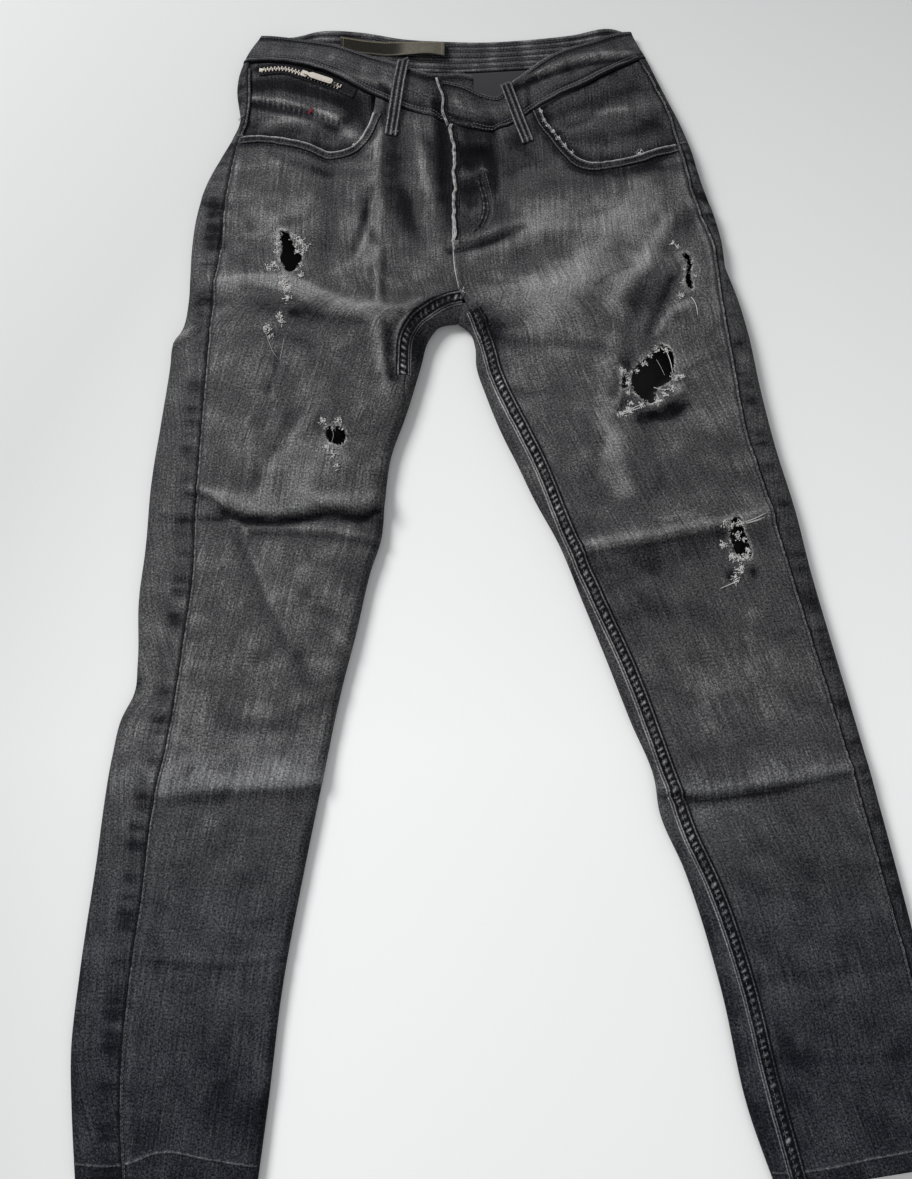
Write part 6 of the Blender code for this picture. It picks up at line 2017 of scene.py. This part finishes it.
def seam_strips():
    """The raised seams: felled inseams, outseam edges, fly edge, pocket lips and hems."""
    made = []
    ladder = np.linspace(-4.6, 11.0, 33)
    bump = 0.8 * np.clip(1.15 - np.abs((ladder - 3.2) / 7.2) ** 4, 0, 1)
    # Tone across the felled inseam: pale lines partly worn seam edges and partly painted highlights,
    # dark lines painted shade in its grooves.
    shade = -0.15 + sum(high * hump(ladder, at, wide) for at, wide, high in (
        (-3.7, 0.6, 0.58), (-1.5, 0.5, 0.56), (0.0, 0.8, -0.40), (6.9, 0.9, -0.40),
        (8.5, 0.6, 0.40), (9.9, 0.8, -0.34)))
    rungs = np.exp(-(((ladder - 3.4) / 2.8) ** 4))
    for name, line, across, slant, seed in (
            ("left", smooth(INSEAM_LEFT)[5:], ladder, 0.35, 51),
            ("right", smooth(INSEAM_RIGHT)[1:], -ladder, -0.5, 52)):
        made.append(ridge_strip(f"inseam_{name}_strip", line, across, bump, shade, step=1.0,
                                wobble=0.3, slant=slant, seed=seed, rungs=rungs, bars=0.58,
                                pitch=6.2))
    for name, sign in (("right", 1), ("left", -1)):
        cols = np.linspace(-1.2, 2.4, 9)
        high = 0.6 * np.clip(1.1 - np.abs((cols - 0.6) / 1.8) ** 3, 0, 1)
        # Outseam tone: lighter on its raised edge, partly wear and partly painted highlight, and painted
        # shade beside it.
        tones = 0.32 * hump(cols, 1.1, 0.5) - 0.34 * hump(cols, -0.3, 0.6)
        made.append(ridge_strip(f"outseam_{name}_strip", OUTSEAMS[name][3:], cols * sign, high,
                                tones, lift=0.12, wobble=0.12, slant=0.6, seed=53))
    lip = np.array([-0.5, 0.1, 0.8, 1.8, 3.2, 4.8, 6.4, 7.6, 8.6, 9.4])
    lip_high = np.array([-0.6, 0.5, 0.95, 0.8, 0.55, 0.5, 0.55, 0.75, 0.6, 0.0])
    # Lip tone: painted highlight on the rolled edge, partly its wear, and painted shadow below the lip.
    lip_tone = np.array([0.30, 0.60, 0.42, -0.10, -0.28, -0.28, -0.2, 0.14, -0.40, -0.40])
    for name, line in MOUTHS.items():
        made.append(ridge_strip(f"pocket_lip_{name}", smooth(line), -lip, lip_high, lip_tone,
                                lift=0.2, wobble=0.1, seed=54))
    fly = np.array([-0.6, 0.2, 1.3, 2.3, 3.0, 4.4, 6.0, 7.0])
    fly_high = np.array([-0.4, 0.8, 1.2, 1.05, 0.7, 0.6, 0.5, 0.0])
    # Fly tone, also used at the band's end: a pale frayed edge with painted shade beside it.
    fly_tone = np.array([0.50, 0.66, 0.40, 0.60, -0.40, -0.40, 0.0, -0.30])
    edge = evenly(smooth(FRONT_EDGE[:4]), 2.0)
    edge = beside(edge, 1.5 * wave(lengths(edge), 57))
    made.append(ridge_strip("fly_edge_strip", edge, fly, fly_high, fly_tone,
                            lift=0.1 + FLY_LIFT, wobble=0.25, seed=55))
    made.append(ridge_strip("band_end_strip", smooth(BAND_END), 0.7 * fly, fly_high, fly_tone,
                            lift=0.9 + BAND_PROUD, wobble=0.2, seed=59))
    curve = np.array([-0.6, 0.2, 1.0, 2.2, 3.6, 4.6, 5.4, 6.4])
    # The J stitch's tones: painted shade in its groove with thin painted highlights.
    made.append(ridge_strip("fly_stitch_strip", smooth(FLY_STITCH), -curve,
                            [0.0, 0.5, 0.6, 0.45, 0.5, 0.6, 0.4, 0.0],
                            [-0.1, 0.14, -0.1, -0.40, -0.16, 0.16, -0.36, -0.36],
                            lift=0.1 + 0.6 * FLY_LIFT, wobble=0.2, seed=58))
    low = np.array([-0.6, 0.0, 1.0, 2.4, 4.0, 6.0, 8.0, 9.4, 10.2])
    low_high = np.array([-0.2, 0.5, 0.8, 0.6, 0.55, 0.55, 0.7, 0.5, 0.0])
    # Centre seam tone: a pale edge, partly wear and partly painted highlight, and painted shade in the
    # grooves beside it.
    low_tone = np.array([0.40, 0.62, 0.50, -0.35, -0.22, -0.10, -0.2, 0.30, -0.30])
    made.append(ridge_strip("centre_seam_strip", smooth(FRONT_EDGE[2:]), low, low_high, low_tone,
                            lift=0.15, wobble=0.25, seed=56))
    hem = np.array([-1.6, -0.8, 0.0, 0.8, 1.6])
    for name, line in (("right", HEM_RIGHT), ("left", HEM_LEFT)):
        made.append(ridge_strip(f"hem_{name}_strip", line, 1.2 * hem, [0.0, 0.3, 0.42, 0.3, 0.0],
                                [-0.1, 0.06, 0.20, 0.04, -0.06], lift=0.1, wobble=0.12, seed=57))
    return made


def yarn_lines(rng, plan, count, long, spread_out, curl=1.0, way=None):
    """Curled loose yarns that start at plan points, as plan lines."""
    plan = np.atleast_2d(np.array(plan, float))
    lines = []
    for _ in range(count):
        at = plan[rng.integers(len(plan))] + rng.normal(0, spread_out, 2)
        size = long * rng.uniform(0.35, 1.2)
        angle = rng.uniform(0, 2 * math.pi) if way is None else way + rng.normal(0, 0.5)
        turn = rng.normal(0, curl)
        line = [at]
        for _ in range(6):
            angle += turn / 6 + rng.normal(0, 0.2 * curl)
            at = at + size / 6 * np.array([math.cos(angle), math.sin(angle)])
            line.append(at)
        lines.append(np.array(line))
    return lines


def laid_yarns(rng, lines, lift, up):
    """Yarns laid over the cloth along plan lines."""
    points, normals = on_top(np.vstack(lines))
    out, base = [], 0
    for line in lines:
        share = np.linspace(0, 1, len(line))
        rise = lift + up * rng.uniform(0.1, 1.0) * np.sin(math.pi * share * rng.uniform(0.4, 1.0))
        out.append(points[base:base + len(line)]
                   + rise[:, None] * normals[base:base + len(line)])
        base += len(line)
    return out


def strand(line, lift):
    """One long yarn along plan points, lifted over the cloth."""
    points, normals = on_top(evenly(smooth(line), 1.5))
    return points + lift * normals


def rip_yarns():
    """The frayed yarns at the rips: thin edges, matted tufts and single threads."""
    rng = np.random.default_rng(77)
    thin, tufts = [], []
    for rips in (RIPS_RIGHT, RIPS_LEFT):
        for rip in rips.values():
            edge = evenly(smooth([*rip, rip[0]], 6), 0.9)
            middle = edge.mean(0)
            worn = 0.5 + 0.5 * wave(2 * lengths(edge), 62)
            for point, much in zip(edge, worn):
                if rng.random() > 0.25 + 0.6 * much:
                    continue
                way = math.atan2(*(point - middle)[::-1])
                thin += yarn_lines(rng, point, 1, 1.6, 0.3, 1.0, way)
                thin += yarn_lines(rng, point, 1, 2.6, 0.4, 0.8, way + rng.choice([1.5, -1.5]))
    for middle, size, count, reach, way in TUFTS:
        tufts += yarn_lines(rng, middle, 3 * count, 0.8 * reach, 1.2 * size, 3.6, way)
        thin += yarn_lines(rng, middle, count // 2, 1.1 * reach, size, 1.6, way)
    thick = laid_yarns(rng, tufts, 0.35, 1.1) + [strand(line, lift) for line, lift in STRANDS]
    fine = laid_yarns(rng, thin, 0.3, 0.9) + [strand(line, lift) for line, lift in THREADS]
    return (solid("rip_yarn_fine", [tubes(fine, FINE_YARN)], frayed_cotton(), sharp=0),
            solid("rip_yarn_tufts", [tubes(thick, TUFT_YARN)], frayed_cotton(), sharp=0))


# Matted tufts: middle, spread, yarns, their reach, the way they point
TUFTS = [
    ((-176, 538), 1.2, 8, 3.5, None), ((-176, 530), 1.2, 8, 3.5, None),
    ((-176, 521), 1.2, 8, 3.5, None), ((-155, 530), 2.2, 16, 4.0, None),
    ((-150, 525), 2.0, 9, 4.0, None), ((-159, 537), 1.6, 8, 3.5, None),
    ((-156, 521), 1.8, 9, 3.5, None), ((-153, 506), 1.0, 6, 3.5, -1.5),
    ((-152, 496), 1.0, 6, 4.0, -1.4), ((-179, 507), 1.6, 9, 4.0, None),
    ((-185, 504), 1.6, 4, 5.0, 3.4), ((-170, 488), 1.8, 12, 4.5, -1.0),
    ((-165, 481), 2.0, 14, 4.5, -1.0), ((-165, 471), 1.6, 9, 4.0, -1.2),
    ((-173, 453), 1.4, 7, 4.0, None), ((-170, 446), 1.4, 5, 4.0, None),
    ((-184, 439), 1.8, 11, 4.0, None), ((-181, 431), 1.2, 4, 3.0, None),
    ((-127, 345), 1.2, 8, 3.0, None), ((-112, 346), 1.4, 8, 3.0, None),
    ((-122, 318), 1.6, 11, 3.5, None), ((-117, 312), 1.4, 7, 3.5, None),
    ((-108, 338), 1.0, 5, 3.0, None), ((-113, 300), 1.2, 5, 3.5, -1.2),
    ((217, 535), 1.0, 5, 3.0, None), ((222, 530), 1.0, 4, 3.0, None),
    ((226, 505), 0.8, 4, 3.0, None), ((224, 490), 0.8, 4, 3.0, None),
    ((221, 476), 1.0, 5, 4.0, -1.4), ((236, 498), 0.8, 4, 3.0, None),
    ((195, 418), 1.4, 8, 3.0, None), ((204, 417), 1.2, 8, 3.5, 1.5),
    ((211, 388), 1.8, 11, 3.5, None), ((217, 390), 1.2, 5, 4.0, 0.6),
    ((161, 395), 1.6, 9, 4.5, None), ((166, 391), 1.2, 5, 4.0, None),
    ((165, 384), 0.8, 5, 3.5, -1.5), ((166, 374), 0.8, 5, 3.5, -1.5),
    ((168, 363), 1.0, 5, 3.5, -1.5),
    ((166, 356), 1.4, 8, 5.0, -2.6), ((159, 352), 1.2, 5, 5.0, -2.6),
    ((178, 361), 1.2, 6, 4.0, -2.8), ((193, 364), 1.2, 7, 4.0, -1.8),
    ((200, 372), 1.4, 8, 4.0, -1.0), ((207, 377), 1.4, 7, 3.5, None),
    ((182, 403), 1.2, 6, 3.0, None), ((188, 411), 1.2, 6, 3.0, None),
    ((175, 396), 1.0, 5, 3.0, None), ((251, 243), 1.4, 9, 3.0, None),
    ((257, 241), 1.2, 6, 3.0, None), ((264, 243), 1.6, 9, 3.0, None),
    ((249, 224), 1.5, 9, 3.5, None), ((263, 233), 1.4, 8, 3.5, None),
    ((269, 229), 1.0, 6, 3.0, None), ((272, 219), 1.0, 6, 3.5, -1.5),
    ((257, 213), 1.6, 11, 4.0, -1.4), ((264, 211), 1.6, 10, 4.0, -1.4),
    ((271, 212), 1.4, 8, 4.0, -1.5), ((264, 200), 1.6, 10, 4.5, -2.0),
    ((259, 191), 1.4, 7, 4.5, -2.4), ((87, 680), 0.7, 7, 2.0, None),
    ((90, 671), 0.7, 8, 2.0, None), ((94, 664), 0.7, 8, 2.0, None),
    ((99, 657), 0.8, 8, 2.0, None), ((104, 649), 0.8, 8, 2.2, None),
    ((110, 641), 0.8, 8, 2.2, None), ((117, 633), 0.7, 6, 2.0, None),
    ((-96, 651), 0.6, 5, 2.0, None), ((-104, 642), 0.6, 5, 2.0, None),
    ((186, 634), 1.0, 4, 3.0, None), ((6, 483), 1.0, 4, 2.5, None),
]
STRANDS = [
    ([(190, 378), (197, 376), (205, 376)], 0.9), ([(204, 416), (207, 405), (209, 392)], 0.6),
    ([(267, 244), (278, 248), (290, 254)], 0.9), ([(266, 243), (278, 246), (289, 250)], 0.7),
    ([(264, 242), (276, 245), (286, 248)], 0.6), ([(262, 190), (254, 186), (244, 182)], 0.8),
    ([(232, 475), (236, 466), (237, 455)], 0.6), ([(180, 362), (168, 357), (157, 351)], 0.6),
    ([(176, 358), (166, 354), (158, 350)], 0.6), ([(167, 372), (166, 382), (163, 391)], 0.5),
]
THREADS = [
    ([(-186, 436), (-181, 424), (-176, 413), (-171, 407)], 0.6),
    ([(-170, 407), (-168, 420), (-167, 434)], 0.6), ([(194, 407), (198, 398), (201, 390)], 0.6),
    ([(-119, 340), (-117, 331), (-119, 322)], 0.9), ([(183, 634), (188, 640), (192, 634)], 1.2),
    ([(-182, 549), (-179, 540), (-178, 532)], 0.8),
]


TACKS = [
    ((-226, 662), (-219, 660)), ((-228, 684), (-219, 686)), ((24, 612), (31, 611)),
    ((-66, 655), (-58, 657)), ((68, 648), (77, 651)), ((-57, 736), (-49, 739)),
    ((45, 704), (54, 709)), ((230, 651), (237, 654)), ((2, 487), (8, 478)),
    ((10, 482), (20, 470)),
]


def bar_tacks():
    """Short dense stitches where the seams meet, one of them red."""
    rows = []
    for a, b in TACKS:
        on_band = a[1] > 640 and abs(a[0]) < 80
        for offset in (-0.8, 0.0, 0.8):
            line = beside(np.array([a, b], float), offset)
            rows.append(stitch_line(line, 2.6 if on_band else 1.3, 1.5, 1.4, 0.8, 0.4))
    plain = new_piece("bar_tacks", *merged(rows), seam_thread())
    red = merged([stitch_line(beside(np.array([(-153, 684), (-148, 688)], float), o),
                              -WALL - UNDER_GAP + 0.5, 1.3, 1.3, 0.9, 0.5)
                  for o in (-0.8, 0.0, 0.8)])
    tack = new_piece("red_tack", *red, grained("red_thread", (0.42, 0.06, 0.07),
                                               (0.2, 0.03, 0.03), 1.5, roughness=0.9))
    return plain, tack


# Operators


def finished(thing, nodes):
    """Hides the model's nodes that a piece stands for."""
    if nodes:
        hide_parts(*nodes)
    return thing


class JEANS_OT_fronts(Operator):
    """Makes the two front panels, with their creases, fading, painted light and shade, and rips"""

    bl_idname = "jeans.fronts"
    bl_label = "Front panels"

    def execute(self, context):
        right = finished(front_panel("right"), ["front_right_panel"])
        left = finished(front_panel("left"), ["front_left_panel"])
        return {"FINISHED"}


class JEANS_OT_backs(Operator):
    """Makes the two back panels and the two yokes, round the outer folds"""

    bl_idname = "jeans.backs"
    bl_label = "Back panels and yokes"

    def execute(self, context):
        for name in ("right", "left"):
            seam = SEAM_GAP / 2 / HIP_LONG
            back = back_patch(name, f"back_{name}", YOKE_END + seam, LAST_ROW, BACK_ROWS)
            finished(back, [f"back_{name}_panel"])
            yoke = back_patch(name, f"yoke_{name}", FIRST_ROW, YOKE_END - seam, YOKE_ROWS)
            finished(yoke, [f"back_yoke_{name}"])
        return {"FINISHED"}


class JEANS_OT_facings(Operator):
    """Makes the facings under the pocket mouths and the shield behind the fly"""

    bl_idname = "jeans.facings"
    bl_label = "Pocket facings and fly shield"

    def execute(self, context):
        for name in ("right", "left"):
            piece = finished(facing(name), [f"pocket_facing_{name}"])
        piece = finished(shield(), ["fly_shield"])
        return {"FINISHED"}


class JEANS_OT_band(Operator):
    """Makes the waistband, with the rows of stitching on its inner face"""

    bl_idname = "jeans.band"
    bl_label = "Waistband"

    def execute(self, context):
        band = finished(band_patch(), ["waistband"])
        rows = new_piece("waistband_inner_stitches", *back_band_ridges(), seam_thread())
        finished(rows, [])
        return {"FINISHED"}


class JEANS_OT_loops(Operator):
    """Makes the belt loops on the front and on the back of the band"""

    bl_idname = "jeans.loops"
    bl_label = "Belt loops"

    def execute(self, context):
        for name, (top, foot) in LOOPS_FRONT.items():
            loop = finished(loop_patch(name, top, foot), [name])
        low, high = LOOP_BACK_SPAN
        for name, x in LOOPS_BACK.items():
            outline = [(x - 6.2, low), (x + 6.2, low), (x + 6.2, high), (x - 6.2, high)]
            loop = finished(flat_cloth(f"{name}_cloth", outline, 0.0, BACK_LOOP_WALL), [name])
        return {"FINISHED"}


class JEANS_OT_back_pockets(Operator):
    """Makes the two patch pockets on the seat"""

    bl_idname = "jeans.back_pockets"
    bl_label = "Back pockets"

    def execute(self, context):
        for name, outline in BACK_POCKETS.items():
            pocket = finished(flat_cloth(f"{name}_cloth", outline, 0.0, BACK_POCKET_WALL), [name])
        return {"FINISHED"}


class JEANS_OT_label(Operator):
    """Makes the bare label on the inside of the back band"""

    bl_idname = "jeans.label"
    bl_label = "Waist label"

    def execute(self, context):
        label, stitches = label_patch()
        finished(label, ["waist_label"])
        finished(stitches, [])
        return {"FINISHED"}


class JEANS_OT_zip(Operator):
    """Makes the pocket's zip, its slider and its bare pull tab"""

    bl_idname = "jeans.zip"
    bl_label = "Zip"

    def execute(self, context):
        tape, teeth, slider, pull = zip_parts()
        finished(tape, ["zip_tape"])
        finished(teeth, [])
        finished(slider, ["zip_slider"])
        finished(pull, ["zip_pull_tab"])
        return {"FINISHED"}


class JEANS_OT_seams(Operator):
    """Makes the raised seams, the rows of stitches and the bar tacks"""

    bl_idname = "jeans.seams"
    bl_label = "Seams and stitching"

    def execute(self, context):
        for piece in (*seam_strips(), stitching(), *bar_tacks()):
            finished(piece, [])
        return {"FINISHED"}


class JEANS_OT_yarns(Operator):
    """Makes the frayed yarns at the rips and worn edges"""

    bl_idname = "jeans.yarns"
    bl_label = "Frayed yarns"

    def execute(self, context):
        for piece in rip_yarns():
            finished(piece, [])
        return {"FINISHED"}


def area_light(name, place, target, size, power):
    """A soft square white light that looks at a point."""
    data = bpy.data.lights.new(name, "AREA")
    data.shape, data.size, data.energy = "SQUARE", size, power
    thing = bpy.data.objects.new(name, data)
    bpy.context.scene.collection.objects.link(thing)
    thing.location = place
    thing.rotation_euler = (Vector(target) - Vector(place)).to_track_quat("-Z", "Y").to_euler()
    return thing


class JEANS_OT_stage(Operator):
    """Makes the pale floor, the soft light and the camera at the photograph's angle"""

    bl_idname = "jeans.stage"
    bl_label = "Stage"

    def execute(self, context):
        size, z = FLOOR_HALF, FLOOR_Z
        mesh = bpy.data.meshes.new("floor")
        mesh.from_pydata([(-size, -size, z), (size, -size, z), (size, size, z), (-size, size, z)],
                         [], [(0, 1, 2, 3)])
        mesh.materials.append(floor_material())
        floor = bpy.data.objects.new("floor", mesh)
        context.scene.collection.objects.link(floor)
        world = bpy.data.worlds.new("soft_white")
        world.use_nodes = True
        sky = next(n for n in world.node_tree.nodes if n.type == "BACKGROUND")
        sky.inputs["Color"].default_value = (0.97, 0.985, 1.0, 1)
        sky.inputs["Strength"].default_value = 0.40
        context.scene.world = world
        area_light("key", (-2.4, 1.7, 2.3), (0, 0, 0), 1.3, 150.0)
        area_light("fill", (0.9, -1.6, 1.8), (0, -0.2, 0), 1.6, 9.0)
        camera = bpy.data.cameras.new("camera")
        camera.lens, camera.sensor_width, camera.clip_start = CAMERA_LENS, 36.0, 0.02
        eye = bpy.data.objects.new("camera", camera)
        eye.location = CAMERA_PLACE
        eye.rotation_euler = (math.radians(CAMERA_TILT), 0, 0)
        context.scene.collection.objects.link(eye)
        context.scene.camera = eye
        context.scene.view_settings.view_transform = "Standard"
        return {"FINISHED"}


def floor_material():
    made, tree, main = shader("pale_floor", 0.9)
    place = put(tree, "TexCoord").outputs["Object"]
    noise = put(tree, "TexNoise", {"Vector": place, "Scale": 3.0, "Detail": 2.0})
    split = put(tree, "SeparateXYZ", {0: place})
    # The floor is painted darker towards its far side and its left: painted falloff of the light.
    far = put(tree, "MapRange", {"Value": split.outputs["Y"], "From Min": -0.2, "From Max": 0.62})
    left = put(tree, "MapRange", {"Value": split.outputs["X"], "From Min": -0.2, "From Max": -0.6,
                                  "To Max": 0.9})
    even = sums(tree, "ADD", far.outputs[0], sums(tree, "MULTIPLY", noise.outputs["Fac"], 0.05))
    even = sums(tree, "ADD", even, left.outputs[0])
    mixed = blend(tree, even, (0.82, 0.82, 0.82, 1), (0.55, 0.55, 0.55, 1))
    tree.links.new(mixed, main.inputs["Base Color"])
    return made


OPERATORS = [JEANS_OT_fronts, JEANS_OT_backs, JEANS_OT_facings, JEANS_OT_band, JEANS_OT_loops,
             JEANS_OT_back_pockets, JEANS_OT_label, JEANS_OT_zip, JEANS_OT_seams, JEANS_OT_yarns,
             JEANS_OT_stage]


class JEANS_PT_panel(Panel):
    """Lists the pieces of the jeans and their settings"""

    bl_idname = "JEANS_PT_panel"
    bl_label = "Ripped Jeans"
    bl_space_type = "VIEW_3D"
    bl_region_type = "UI"
    bl_category = "Jeans"

    def draw(self, context):
        layout = self.layout
        for settings in (context.scene.jeans_cloth, context.scene.jeans_colours):
            box = layout.box()
            for key in settings.__annotations__:
                box.prop(settings, key)
        for operator in OPERATORS:
            layout.operator(operator.bl_idname)


CLASSES = [ClothSettings, ColourSettings, *OPERATORS, JEANS_PT_panel]


def register():
    for one in CLASSES:
        bpy.utils.register_class(one)
    bpy.types.Scene.jeans_cloth = PointerProperty(type=ClothSettings)
    bpy.types.Scene.jeans_colours = PointerProperty(type=ColourSettings)


def unregister():
    del bpy.types.Scene.jeans_colours
    del bpy.types.Scene.jeans_cloth
    for one in reversed(CLASSES):
        bpy.utils.unregister_class(one)


def main():
    register()
    for operator in OPERATORS:
        group, name = operator.bl_idname.split(".")
        getattr(getattr(bpy.ops, group), name)()
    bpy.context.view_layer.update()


if __name__ == "__main__":
    main()
